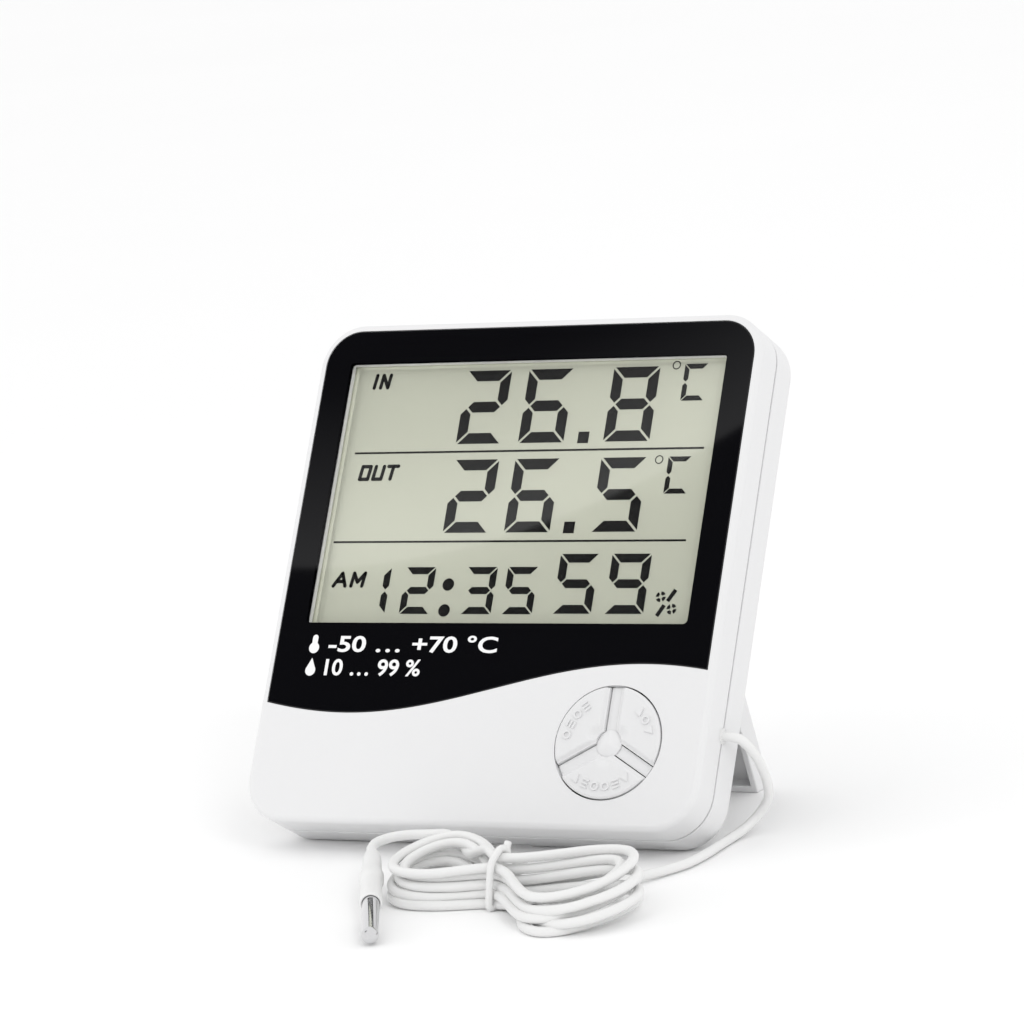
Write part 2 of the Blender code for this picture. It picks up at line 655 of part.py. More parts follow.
def make_tie():
    """A plain band round the hank's waist."""
    rings = []
    for along, wall in ((-TIE_HALF_L, TIE_WALL), (-TIE_HALF_L, 0), (TIE_HALF_L, 0), (TIE_HALF_L, TIE_WALL)):
        half = TIE_HALF_W + wall
        low, high = HANK_Z[0] - GAP - wall, HANK_Z[1] + GAP + wall
        section = [(-half, low), (half, low), (half, high), (-half, high)]
        rings.append([(*hank_point(along, across), z) for across, z in section])
    place("hank_tie", *skin(rings, closed=True), CORD_WHITE)


def probe_frame():
    along = (PROBE_END - SLEEVE_REAR).normalized()
    return along, along.to_track_quat("Z", "Y").to_matrix().to_4x4()


def make_probe():
    """Moulded sleeve and polished tube, lying on the floor, with the sensor bead inside the tube."""
    along, turn = probe_frame()
    tip_length = (PROBE_END - SLEEVE_REAR).length - SLEEVE_L

    def lathe(name, sections, look, start, count=14):
        made = turned(name, sections, look, None, count, "Z")
        made.matrix_world = Matrix.Translation(start * MM) @ turn
        return made

    lathe("probe_sleeve", [(1.4, 0), (1.85, 2.5), (2.0, 11), (2.35, 12), (2.35, 15), (2.1, 16),
                           (2.2, SLEEVE_L - 0.6), (2.0, SLEEVE_L)], CORD_WHITE, SLEEVE_REAR)
    tip_start = SLEEVE_REAR + along * (SLEEVE_L + GAP)
    end = tip_length - GAP
    tip = lathe("probe_tip", [(TIP_R, 0), (TIP_R, end - 1.4), (TIP_R * 0.8, end - 0.6), (TIP_R * 0.35, end)],
                STEEL, tip_start)
    cut(tip, lathe("tip_bore", [(TIP_BORE_R, -1), (TIP_BORE_R, end - 2.5)], None, tip_start, 10))
    lathe("probe_thermistor", [(0.4, 0), (0.9, 0.7), (0.9, 2.6), (0.4, 3.2)], ((0.25, 0.12, 0.05), 0.4),
          tip_start + along * (end - 7.0), 8)


def make_lead():
    start = case_matrix @ Vector((CASE_W / 2 + GAP, EXIT_Y, EXIT_Z))
    leaving = [start, start + Vector((1.0, 0, 0)), (52.9, -15.9, 20.9), (54.1, -14.7, 19.1),
               (54.7, -12.9, 16.6), (54.8, -10.9, 13.6), (54.7, -9.1, 10.2), (53.8, -7.9, 6.8),
               (51.4, -8.4, 3.6), (49.6, -11.2, 1.7), (48.9, -15.5, 1.15), (49.0, -21.0, 1.15),
               (49.1, -27.5, 1.15), (48.4, -34.0, 1.15), (46.0, -39.8, 1.2), (43.8, -44.8, 1.5),
               (42.2, -49.6, 2.0), (39.6, -53.4, 2.6), (36.2, -56.3, 2.9)]
    wire("probe_cable", smooth(leaving, 3.2), CORD_R, 2, CORD_WHITE)

    along, _ = probe_frame()
    sleeve = SLEEVE_REAR - along * GAP
    arriving = [(8.6, -47.3, 9.0), (3.2, -44.6, 8.6), (-2.0, -42.8, 7.9), (-6.4, -41.6, 7.4),
                (-10.4, -42.6, 7.0), (-12.1, -45.6, 6.6), (-11.3, -48.6, 6.3),
                sleeve - along * 1.2, sleeve]
    wire("probe_cable_end", smooth(arriving, 2.6), CORD_R, 2, CORD_WHITE)
    flange = GROMMET_FLANGE_X
    turned("cable_grommet", [(GROMMET_FLANGE_R, flange[0]), (GROMMET_FLANGE_R, flange[1]),
                             (GROMMET_R, flange[1]), (GROMMET_R, CASE_W / 2)],
           ((0.80, 0.80, 0.80), 0.5), case, 12, "X", (0, EXIT_Y, EXIT_Z))


make_front_shell()
make_display()
make_rear_cover()
for key_name, key_angle in KEY_ANGLES.items():
    make_front_key(key_name, key_angle)
    key_x, key_z = key_centre(key_angle)
    make_switch(f"{key_name}_switch", key_x, key_z, SWITCH_FRONT_Y, BOARD_Y[0])
for key_name, key_x in REAR_KEY_XS.items():
    make_rear_key(key_name, key_x)
    make_switch(f"{key_name}_switch", key_x, REAR_KEY_Z, REAR_SWITCH_Y, BOARD_Y[1])
make_board()
make_battery()
make_door()
make_screws()
make_stand()
make_hank()
make_tie()
make_probe()
make_lead()
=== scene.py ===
"""Looks of a desktop digital thermometer and hygrometer with a remote probe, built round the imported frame.

Lengths are in millimetres and become metres through MM.  The case's pieces are modelled in the case's own
frame (x right, y from the front face backwards, z up the panel), which case_frame() reads from the CAD.
"""
import json
from math import asin, atan2, copysign, cos, degrees, hypot, pi, radians, sin, sqrt, tan

import bmesh
import bpy
import numpy as np
from mathutils import Matrix, Vector


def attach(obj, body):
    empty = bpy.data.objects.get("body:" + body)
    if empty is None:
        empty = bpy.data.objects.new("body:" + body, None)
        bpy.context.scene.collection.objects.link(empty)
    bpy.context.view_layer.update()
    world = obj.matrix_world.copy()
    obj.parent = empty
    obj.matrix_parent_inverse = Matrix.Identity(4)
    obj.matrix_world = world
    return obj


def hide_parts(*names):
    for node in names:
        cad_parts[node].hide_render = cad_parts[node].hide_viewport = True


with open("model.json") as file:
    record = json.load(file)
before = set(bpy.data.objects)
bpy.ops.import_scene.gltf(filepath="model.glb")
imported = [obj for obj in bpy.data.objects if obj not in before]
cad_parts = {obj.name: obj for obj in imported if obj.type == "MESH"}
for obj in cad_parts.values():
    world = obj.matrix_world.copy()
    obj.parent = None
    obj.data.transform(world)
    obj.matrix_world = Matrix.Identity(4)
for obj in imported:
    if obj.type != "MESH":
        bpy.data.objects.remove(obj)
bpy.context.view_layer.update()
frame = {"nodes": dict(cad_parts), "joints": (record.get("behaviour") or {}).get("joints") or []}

MM = 0.001
GAP = 0.3

# The case, as in the CAD
CASE_W, CASE_H, CASE_D = 100.0, 105.0, 17.0
SEAM_Y = 7.2
CORNER_R = 9.0
FRONT_EDGE_R = 1.3
REAR_EDGE_R = 4.0
WALL, FRONT_WALL, REAR_WALL = 1.8, 2.2, 1.6
SEAM_OPEN, SEAM_BEVEL = 0.12, 0.14          # the halves' edges stand back a little from the seam

# The lens and the window in its print
LENS_T = 0.9
LENS_MARGIN = 1.5
LENS_EDGE = 0.14                             # its front edge's chamfer
WINDOW_HALF_W = 42.6
WINDOW_Z = (41.1, 96.5)
WAVE_MID, WAVE_RISE, WAVE_LOW_X, WAVE_RUN = 27.7, 5.3, -30.0, 65.0
LCD_Y = 2.5

# The disc of three keys
KEYS_X, KEYS_Z, KEYS_R = 29.5, 17.2, 11.5
BAR_HALF = 1.15
KEY_PROUD = 0.5
BAR_SUNK = 0.85
KEY_ANGLES = {"mode": 150.0, "adjust": 30.0, "memory": 270.0}

# The back: stand and its recess, battery compartment, screws and small openings
STAND_HALF_W, STAND_T, STAND_DEPTH = 37.0, 1.4, 5.4
HINGE_R = STAND_DEPTH / 2
HINGE_Y, HINGE_Z = CASE_D - HINGE_R, 57.0
STAND_TILT, LEAN = radians(19.0), radians(31.0)
STUB_R, STUB_L = 1.2, 1.6
RECESS_HALF_W, RECESS_FLOOR, RECESS_Z, RECESS_WALL = 37.6, 11.0, (2.6, 61.0), 1.2
BATTERY_Z, TUB_HALF_W, TUB_HALF_H, TUB_WALL = 77.0, 25.6, 6.0, 2.0
TUB_FLOOR_Y, TUB_SKIN = 5.0, 0.7
DOOR_LEDGE, DOOR_T = 1.4, 1.1
SCREW_PLACES = [(side * 43.6, z) for side in (-1, 1) for z in (9.0, 36.0)]
SCREW_HEAD_R, SCREW_SHANK_R, SCREW_SEAT, BOSS_R = 2.1, 1.0, 2.2, 2.6
KEYHOLE_Z, KEYHOLE_R, KEYHOLE_SLOT_R, KEYHOLE_RISE = 93.5, 4.5, 2.0, 6.0
VENT_XS, VENT_Z, VENT_W = (31.5, 34.7, 37.9, 41.1), (71.0, 83.0), 1.4
REAR_KEY_XS, REAR_KEY_Z, REAR_KEY_R = {"reset": -30.0, "unit": -20.0}, 64.9, 1.6
BEHIND = 20.0                                # where cutters from the back end, clear of the case
WITHIN = 14.0                                # where those through the back's wall alone start

# The lead
CORD_R = 0.95
NOTCH_R = 1.5                                # in the halves' edges, where it leaves
EXIT_Y, EXIT_Z = SEAM_Y + GAP / 2, 21.0


# ---- frames and helpers

def case_frame():
    """Matrix from the case's frame, in millimetres, to the world: it leans as the front keys' axes do."""
    press = next(j for j in frame["joints"] if j["name"] == "mode_press")
    back = Vector(press["axis"]).normalized()
    up = Vector((0, -back.z, back.y))
    corners = [v.co for v in frame["nodes"]["front_shell"].data.vertices]
    origin = back * min(c @ back for c in corners) + up * min(c @ up for c in corners)
    axes = Matrix((Vector((1, 0, 0)), back, up)).transposed().to_4x4()
    return Matrix.Translation(origin) @ axes @ Matrix.Scale(MM, 4)


CASE = case_frame()
WORLD = Matrix.Scale(MM, 4)


def linked(name, data):
    """A new object of the data, in the scene."""
    made = bpy.data.objects.new(name, data)
    bpy.context.scene.collection.objects.link(made)
    return made


def mesh_from(name, vertices, faces, matrix=WORLD, sharp=35.0):
    mesh = bpy.data.meshes.new(name)
    mesh.from_pydata([Vector(v) for v in vertices], [], faces)
    work = bmesh.new()
    work.from_mesh(mesh)
    bmesh.ops.recalc_face_normals(work, faces=work.faces[:])
    work.to_mesh(mesh)
    work.free()
    mesh.transform(matrix)
    mesh.shade_smooth()
    mesh.set_sharp_from_angle(angle=radians(sharp))
    return linked(name, mesh)


def finish_piece(made, body, slot, material, *nodes):
    """The piece rides on its body, takes its material, and stands for the CAD nodes named; its slot is not
    used.
    """
    looks = material if isinstance(material, list) else [material]
    if len(looks) == 1:
        made.data.materials.clear()
    for each in looks:
        made.data.materials.append(each)
    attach(made, body)
    if nodes:
        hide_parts(*nodes)
    return made


def skin(rings, closed=False):
    """Vertices and faces of a body: rings of equal count in order, capped at both ends unless closed."""
    count = len(rings[0])
    vertices = [point for ring in rings for point in ring]
    faces = [] if closed else [tuple(range(count)), tuple(range(len(vertices) - count, len(vertices)))]
    for ring in range(len(rings) if closed else len(rings) - 1):
        low, high = ring * count, (ring + 1) % len(rings) * count
        for k in range(count):
            after = (k + 1) % count
            faces.append((low + k, low + after, high + after, high + k))
    return vertices, faces


def grid_faces(rows, columns, start=0):
    """Faces of a net of points, numbered along its rows from start."""
    wide = columns + 1
    corners = [start + row * wide + column for row in range(rows) for column in range(columns)]
    return [(k, k + 1, k + 1 + wide, k + wide) for k in corners]


def prism(name, outline, y_range, matrix=CASE):
    return mesh_from(name, *skin([[(x, y, z) for x, z in outline] for y in y_range]), matrix)


def block(name, x_range, y_range, z_range, matrix=CASE):
    (x0, x1), (z0, z1) = x_range, z_range
    return prism(name, [(x0, z0), (x1, z0), (x1, z1), (x0, z1)], y_range, matrix)


def circle(x, z, radius, count=48):
    turn = 2 * pi / count
    return [(x + radius * cos(k * turn), z + radius * sin(k * turn)) for k in range(count)]


def arc(x, z, radius, first, last, steps, height=None):
    """Points on an arc, its angles in degrees; height is the other radius of an oval."""
    height = radius if height is None else height
    angles = [radians(first + (last - first) * k / steps) for k in range(steps + 1)]
    return [(x + radius * cos(a), z + height * sin(a)) for a in angles]


def turned(name, sections, at=(0, 0, 0), axis="Y", count=48, matrix=CASE):
    """A solid of revolution: sections are (radius, distance along the axis)."""
    rings = []
    for radius, along in sections:
        ring = []
        for u, v in circle(0, 0, radius, count):
            spot = {"Y": (u, along, v), "X": (along, u, v), "Z": (u, v, along)}[axis]
            ring.append(tuple(a + b for a, b in zip(at, spot)))
        rings.append(ring)
    return mesh_from(name, *skin(rings), matrix)


def rounded(inset, steps=14, width=CASE_W, height=CASE_H, radius=CORNER_R):
    """Rounded rectangle of (x, z) points, standing on z = 0, moved inwards by inset."""
    bend = max(radius - inset, 0.8)
    points = []
    for corner in range(4):
        cx = (width / 2 - inset - bend) * (1 if corner in (0, 3) else -1)
        cz = height - inset - bend if corner in (0, 1) else inset + bend
        for step in range(steps + 1):
            angle = radians(90 * (corner + step / steps))
            points.append((cx + bend * cos(angle), cz + bend * sin(angle)))
    return points


def carve(target, *tools, operation="DIFFERENCE"):
    """The tools are cut from the target, or joined to it, and removed."""
    for tool in tools:
        step = target.modifiers.new("carve", "BOOLEAN")
        step.operation = operation
        step.solver = "EXACT"
        step.object = tool
    apply_modifiers(target)
    for tool in tools:
        bpy.data.objects.remove(tool, do_unlink=True)


def apply_modifiers(target):
    graph = bpy.context.evaluated_depsgraph_get()
    mesh = bpy.data.meshes.new_from_object(target.evaluated_get(graph))
    target.modifiers.clear()
    target.data = mesh


def soften(target, width, segments=2, angle=30.0):
    """Small rounded edges, as a mould leaves them."""
    work = bmesh.new()
    work.from_mesh(target.data)
    bmesh.ops.remove_doubles(work, verts=work.verts, dist=0.005 * MM)
    bmesh.ops.dissolve_limit(work, angle_limit=radians(0.5), verts=work.verts, edges=work.edges)
    work.to_mesh(target.data)
    work.free()
    bevel = target.modifiers.new("soften", "BEVEL")
    bevel.width = width * MM
    bevel.segments = segments
    bevel.limit_method = "ANGLE"
    bevel.angle_limit = radians(angle)
    bevel.use_clamp_overlap = True
    apply_modifiers(target)
    target.data.shade_smooth()
    target.data.set_sharp_from_angle(angle=radians(50))
    even = target.modifiers.new("even", "WEIGHTED_NORMAL")
    even.keep_sharp = True
    even.weight = 100
    apply_modifiers(target)


def smooth_line(points, spacing):
    """Points about one spacing apart on a Catmull-Rom curve through the given ones."""
    line = [Vector(p) for p in points]
    line = [2 * line[0] - line[1]] + line + [2 * line[-1] - line[-2]]
    result = [line[1]]
    for k in range(1, len(line) - 2):
        before, here, there, after = line[k - 1:k + 3]
        steps = max(1, round((there - here).length / spacing))
        for step in range(1, steps + 1):
            t = step / steps
            result.append(0.5 * (2 * here + (there - before) * t
                                 + (2 * before - 5 * here + 4 * there - after) * t * t
                                 + (3 * here - before - 3 * there + after) * t ** 3))
    return result


# ---- materials

def shader_of(name):
    made = bpy.data.materials.new(name)
    made.use_nodes = True
    tree = made.node_tree
    return made, tree, tree.nodes["Principled BSDF"]


def feed(tree, node, **inputs):
    """Each input, named by its label, takes a constant or another node's output."""
    for label, value in inputs.items():
        socket = node.inputs[label.replace("_", " ")]
        if isinstance(value, bpy.types.NodeSocket):
            tree.links.new(value, socket)
        else:
            socket.default_value = value
    return node


def new_node(tree, kind, **inputs):
    return feed(tree, tree.nodes.new("ShaderNode" + kind), **inputs)


def own_place(tree):
    """The piece's own coordinates, in metres."""
    return new_node(tree, "TexCoord").outputs["Object"]


def noise_of(tree, scale, detail=3.0):
    return new_node(tree, "TexNoise", Scale=scale, Detail=detail, Vector=own_place(tree)).outputs["Fac"]


def ranged(tree, value, low, high):
    return new_node(tree, "MapRange", To_Min=low, To_Max=high, Value=value).outputs["Result"]


def mixed(tree, factor, first, second):
    node = tree.nodes.new("ShaderNodeMix")
    node.data_type = "RGBA"
    return feed(tree, node, A=(*first, 1), B=(*second, 1), Factor=factor).outputs["Result"]


def reckoned(tree, operation, first, second):
    node = tree.nodes.new("ShaderNodeMath")
    node.operation = operation
    for socket, value in zip(node.inputs, (first, second)):
        if isinstance(value, bpy.types.NodeSocket):
            tree.links.new(value, socket)
        else:
            socket.default_value = value
    return node.outputs[0]


def darker(colour, shade):
    return tuple(c * shade for c in colour)


def bumped(tree, shader, height, distance):
    bump = new_node(tree, "Bump", Strength=1.0, Distance=distance * MM, Height=height)
    feed(tree, shader, Normal=bump.outputs["Normal"])


def moulded(name, colour, roughness, grain=0.012, grain_scale=3500.0):
    """Moulded plastic: a fine even texture, faint unevenness of tone and gloss."""
    made, tree, shader = shader_of(name)
    fine = noise_of(tree, grain_scale, 4.0)
    feed(tree, shader, Base_Color=mixed(tree, noise_of(tree, 60.0, 2.0), darker(colour, 0.985), colour),
         Roughness=ranged(tree, fine, roughness - 0.05, roughness + 0.05))
    bumped(tree, shader, fine, grain)
    return made


def metal(name, colour, roughness, streak=None):
    made, tree, shader = shader_of(name)
    fine = noise_of(tree, 2200.0, 5.0)
    feed(tree, shader, Metallic=1.0, Base_Color=mixed(tree, fine, darker(colour, 0.86), colour),
         Roughness=ranged(tree, fine, roughness * 0.7, roughness * 1.3))
    if streak:
        bumped(tree, shader, fine, streak)
    return made


def clear_cover(name):
    """Clear acrylic: what is behind it shows, and it mirrors by the angle."""
    made, tree, shader = shader_of(name)
    feed(tree, shader, Base_Color=(1, 1, 1, 1), Metallic=1.0, Roughness=0.02)
    slant = new_node(tree, "LayerWeight", Blend=0.5).outputs["Facing"]
    mix = tree.nodes.new("ShaderNodeMixShader")
    for socket, value in zip(mix.inputs, (ranged(tree, reckoned(tree, "POWER", slant, 5.0), 0.04, 1.0),
                                          new_node(tree, "BsdfTransparent").outputs[0], shader.outputs[0])):
        tree.links.new(value, socket)
    feed(tree, tree.nodes["Material Output"], Surface=mix.outputs[0])
    return made


def glossy(name, colour, roughness, coat=0.0, shade=0.9, scale=90.0, metallic=0.0):
    """Smooth plastic, glass or resin with a faint unevenness of tone."""
    made, tree, shader = shader_of(name)
    wide = noise_of(tree, scale, 2.0)
    feed(tree, shader, Base_Color=mixed(tree, wide, darker(colour, shade), colour), Metallic=metallic,
         Roughness=ranged(tree, wide, roughness * 0.8, roughness * 1.2), Coat_Weight=coat,
         Coat_Roughness=0.03)
    return made


def banded(name, first, second, axis, low, high, roughness, metallic=0.0):
    """Two colours, the second between two places along one axis of the part, in metres."""
    made, tree, shader = shader_of(name)
    place = new_node(tree, "SeparateXYZ", Vector=own_place(tree)).outputs[axis]
    inside = reckoned(tree, "MULTIPLY", reckoned(tree, "GREATER_THAN", place, low),
                      reckoned(tree, "LESS_THAN", place, high))
    feed(tree, shader, Base_Color=mixed(tree, inside, first, second), Roughness=roughness, Metallic=metallic)
    return made


def board_look(name):
    """Solder mask over copper traces: a fine pattern of slightly raised lighter lines."""
    made, tree, shader = shader_of(name)
    turn = new_node(tree, "Mapping", Vector=own_place(tree), Rotation=(radians(60), 0, 0))
    traces = new_node(tree, "TexBrick", Vector=turn.outputs[0], Scale=260.0, Mortar_Size=0.06,
                      Color1=(0.015, 0.13, 0.045, 1), Color2=(0.018, 0.15, 0.05, 1),
                      Mortar=(0.05, 0.30, 0.12, 1))
    feed(tree, shader, Base_Color=traces.outputs["Color"], Roughness=0.35)
    bumped(tree, shader, traces.outputs["Fac"], 0.03)
    return made


WHITE_SHELL = moulded("white_shell", (0.765, 0.765, 0.77), 0.38)
WHITE_KEYS = moulded("white_keys", (0.75, 0.75, 0.755), 0.40)
CORD_WHITE = moulded("cord_white", (0.80, 0.80, 0.795), 0.42, grain=0.02, grain_scale=1500.0)
GREY_PLASTIC = moulded("grey_plastic", (0.50, 0.50, 0.51), 0.5)
DARK_PRINT = glossy("dark_print", (0.004, 0.004, 0.005), 0.03)
CLEAR_WINDOW = clear_cover("clear_window")
PRINT_WHITE = glossy("print_white", (0.88, 0.88, 0.88), 0.25, shade=0.98)
LCD_GLASS = glossy("lcd_glass", (0.82, 0.84, 0.70), 0.10, coat=0.3, shade=0.985, scale=40.0, metallic=0.35)
LCD_BLACK = glossy("lcd_segments", (0.004, 0.004, 0.004), 0.25)
STEEL = metal("plated_steel", (0.62, 0.62, 0.64), 0.28, streak=0.004)
POLISHED = metal("polished_steel", (0.72, 0.72, 0.73), 0.07)
BRASS = metal("spring_brass", (0.80, 0.60, 0.28), 0.25)
BLACK_PART = moulded("black_component", (0.025, 0.025, 0.025), 0.5)
WHITE_PART = moulded("white_component", (0.80, 0.79, 0.75), 0.45)
RUBBER = banded("contact_rubber", (0.62, 0.35, 0.38), (0.05, 0.05, 0.05), 1, -1.0, -0.9, 0.6)
BEAD = glossy("sensor_bead", (0.25, 0.10, 0.04), 0.15)
BOARD = board_look("circuit_board")
BATTERY_LOOK = banded("battery_can", (0.10, 0.16, 0.36), (0.80, 0.55, 0.18), 0, 0.013, 1.0, 0.28, 0.5)


# ---- camera, floor and light

TARGET = Vector((-1.4, 2.4, 61.6))
DISTANCE = 920.0
AZIMUTH, ELEVATION, ROLL = radians(29.36), radians(10.0), radians(-6.09)
LENS_MM = 163.5


def make_camera():
    forward = Vector((-sin(AZIMUTH) * cos(ELEVATION), cos(AZIMUTH) * cos(ELEVATION),
                      -sin(ELEVATION)))
    level = Vector((cos(AZIMUTH), sin(AZIMUTH), 0))
    right = Matrix.Rotation(-ROLL, 3, forward) @ level
    up = right.cross(forward)
    data = bpy.data.cameras.new("camera")
    data.lens = LENS_MM
    data.sensor_width = 36.0
    data.clip_start, data.clip_end = 0.02, 60.0
    camera = linked("camera", data)
    camera.matrix_world = (Matrix.Translation((TARGET - forward * DISTANCE) * MM)
                           @ Matrix((right, up, -forward)).transposed().to_4x4())
    bpy.context.scene.camera = camera
    return camera


def make_floor():
    made, tree, shader = shader_of("floor")
    feed(tree, shader, Roughness=0.9, Specular_IOR_Level=0.1,
         Base_Color=mixed(tree, noise_of(tree, 3.0), (0.93, 0.93, 0.93), (0.95, 0.95, 0.95)))
    reach = 20000.0
    corners = [(-reach, -reach, 0), (reach, -reach, 0), (reach, reach, 0), (-reach, reach, 0)]
    floor = mesh_from("floor", corners, [(0, 1, 2, 3)])
    floor.data.materials.append(made)


def make_softbox(name, place, size, power):
    """A round softbox turned to the object; it leaves no disc in the lens."""
    data = bpy.data.lights.new(name, "AREA")
    data.shape = "DISK"
    data.size = size
    data.energy = power
    lamp = linked(name, data)
    lamp.location = place
    lamp.rotation_euler = (Vector((0, 0, 0.05)) - Vector(place)).to_track_quat("-Z", "Y").to_euler()
    lamp.visible_glossy = False


def make_world(strength):
    world = bpy.data.worlds.new("studio")
    world.use_nodes = True
    tree = world.node_tree
    feed(tree, tree.nodes["Background"], Color=(1, 1, 1, 1), Strength=strength)
    bpy.context.scene.world = world


camera = make_camera()
make_floor()
make_world(1.03)
make_softbox("right_front", (1.4, -1.0, 1.5), 0.7, 5.5)
make_softbox("left_near", (-0.30, -0.26, 0.16), 0.12, 0.12)
bpy.context.scene.view_settings.view_transform = "Standard"


# ---- the lead

HANK_WAIST = Vector((24.3, -62.9, 0.0))
HANK_TURN = radians(-14.0)
HANK_STEPS = 44                              # points in each turn
FIRST_ANGLE, LAST_ANGLE = 74.0, 6 * 360 + 104.0
HANK_FOOT, HANK_STACK = 1.2, 1.45            # height of the first turn, and what each adds
PINCH = 0.02                                 # the square of a turn's opening at the waist
WAIST_ACROSS = 1.3                           # the tied bundle lies a little behind the lobes' middle
RIGHT_REACH = (31.0, 27.5, 30.5, 27.0, 29.0, 24.5, 27.0)
LEFT_REACH = (24.0, 25.5, 23.0, 26.0, 21.5, 25.0, 25.5)
RIGHT_BULGE = (22.0, 25.0, 20.0, 26.0, 22.0, 19.0, 23.0)
LEFT_BULGE = (15.0, 18.0, 14.0, 18.0, 13.0, 16.0, 18.0)
RIGHT_LIFT = (3.0, 5.5, 7.0, 5.5, 6.5, 4.5, 4.5)
LEFT_LIFT = (3.0, 5.5, 7.0, 5.0, 5.5, 2.5, 2.5)
RIGHT_FAN = (-13.0, -6.0, -9.0, 0.0, -5.0, 5.0, 3.0)
LEFT_FAN = (4.0, 1.0, 4.0, -2.0, 1.0, -7.0, -6.0)
SLEEVE_REAR = Vector((-9.4, -51.6, 6.0))
PROBE_END = Vector((12.2, -90.8, 1.8))
SLEEVE_L = 27.0
TIP_R = 1.65
SLEEVE_ROOM = 3.6                            # from the sleeve's axis to the lead's
ROUTE_STEP, DRAWN_STEP = 2.2, 0.8            # between the lead's points, as it settles and as drawn
ALONG = (PROBE_END - SLEEVE_REAR).normalized()


def to_hank(p):
    return Matrix.Rotation(HANK_TURN, 3, "Z").transposed() @ (Vector(p) - HANK_WAIST)


def from_hank(p):
    return HANK_WAIST + Matrix.Rotation(HANK_TURN, 3, "Z") @ Vector(p)


def between(values, where):
    """A value that eases from each turn's to the next."""
    k = min(int(where), len(values) - 1)
    after = min(k + 1, len(values) - 1)
    share = where - int(where)
    share = share * share * (3 - 2 * share)
    return values[k] * (1 - share) + values[after] * share


def hank_turns():
    """Turns through the tie, each an oval pinched at the waist, before they settle."""
    points = []
    count = int((LAST_ANGLE - FIRST_ANGLE) / 360 * HANK_STEPS)
    for k in range(count + 1):
        angle = FIRST_ANGLE + (LAST_ANGLE - FIRST_ANGLE) * k / count
        t, where = radians(angle), angle / 360
        right = cos(t) > 0
        reach = between(RIGHT_REACH if right else LEFT_REACH, where)
        bulge = between(RIGHT_BULGE if right else LEFT_BULGE, where)
        side = 1.0 + 0.5 * (int(where * 2) % 4)
        fan = radians(between(RIGHT_FAN if right else LEFT_FAN, where) * cos(t) ** 2)
        opening = sqrt(cos(t) ** 2 + PINCH)
        along = reach * cos(t)
        across = sin(t) * (side + bulge * opening) + WAIST_ACROSS
        lift = between(RIGHT_LIFT if right else LEFT_LIFT, where) * (0.5 + 0.5 * sin(t)) * opening
        x = along * cos(fan) - across * sin(fan)
        y = along * sin(fan) + across * cos(fan)
        points.append(from_hank((x, y, HANK_FOOT + HANK_STACK * where + lift)))
    return points


def leaving():
    """From the case's side out, down to the floor, forwards and up to the hank."""
    inside = CASE @ Vector((CASE_W / 2 - 1.6, EXIT_Y, EXIT_Z)) / MM
    start = CASE @ Vector((CASE_W / 2 + GAP, EXIT_Y, EXIT_Z)) / MM
    return [inside, start, start + Vector((1.0, 0, 0)), (52.9, -15.9, 20.9), (54.1, -14.7, 19.1),
            (54.7, -12.9, 16.6), (54.8, -10.9, 13.6), (54.7, -9.1, 10.2), (53.8, -7.9, 6.8),
            (51.4, -8.4, 3.6), (49.6, -11.2, 1.7), (48.9, -15.5, 1.15), (49.0, -21.0, 1.15),
            (49.1, -27.5, 1.15), (48.4, -34.0, 1.15), (46.0, -39.8, 1.2), (43.8, -44.8, 1.5),
            (42.2, -49.6, 2.0), (39.6, -53.4, 2.6)]


def arriving():
    """From the hank's left lobe round and down into the probe's sleeve."""
    sleeve = SLEEVE_REAR - ALONG * GAP
    return [(14.5, -52.0, 9.2), (8.6, -47.3, 9.0), (3.2, -44.6, 8.6), (-2.0, -42.8, 7.9), (-6.4, -41.6, 7.4),
            (-10.4, -42.6, 7.0), (-12.1, -45.6, 6.6), (-11.3, -48.6, 6.3), sleeve - ALONG * 1.2,
            sleeve + ALONG * 1.5]


SETTLE_ROUNDS, SETTLE_RAMP = 260, 24
CALM_AFTER = 0.75                            # share of the rounds with fall and pull
OWN_STRETCH = 3.2 * CORD_R * 2               # along the lead, within which points don't push
SMOOTHING = (0.33, -0.34)                    # there and back, so that the turns keep their size
FALL = 0.022                                 # in each round
WAIST_PULL, WAIST_REACH = 0.05, 5.0          # the tie draws in what is near it
KEPT_APART = 2.06 * CORD_R                   # between stretches that touch
LEAST_RISE = 0.4                             # taken between two stretches, so that one ends on top
PUSH_SHARE, EVEN_SHARE = 0.55, 0.30          # of a push, and of the evening out after it


def clear_of_sleeve(p):
    """How far each point has to move to leave room for the probe's sleeve."""
    rear, along = np.array(SLEEVE_REAR), np.array(ALONG)
    reach = np.clip((p - rear) @ along, 3.0, SLEEVE_L)
    away = p - rear - np.outer(reach, along)
    away[:, 2] = 0.0
    length = np.linalg.norm(away, axis=1) + 1e-6
    return away * (np.clip(SLEEVE_ROOM - length, 0, None) / length)[:, None]


def neighbours_mean(values):
    """Each row becomes the mean of the rows beside it; the first and last stay."""
    mean = values.copy()
    mean[1:-1] = (values[:-2] + values[2:]) / 2
    return mean


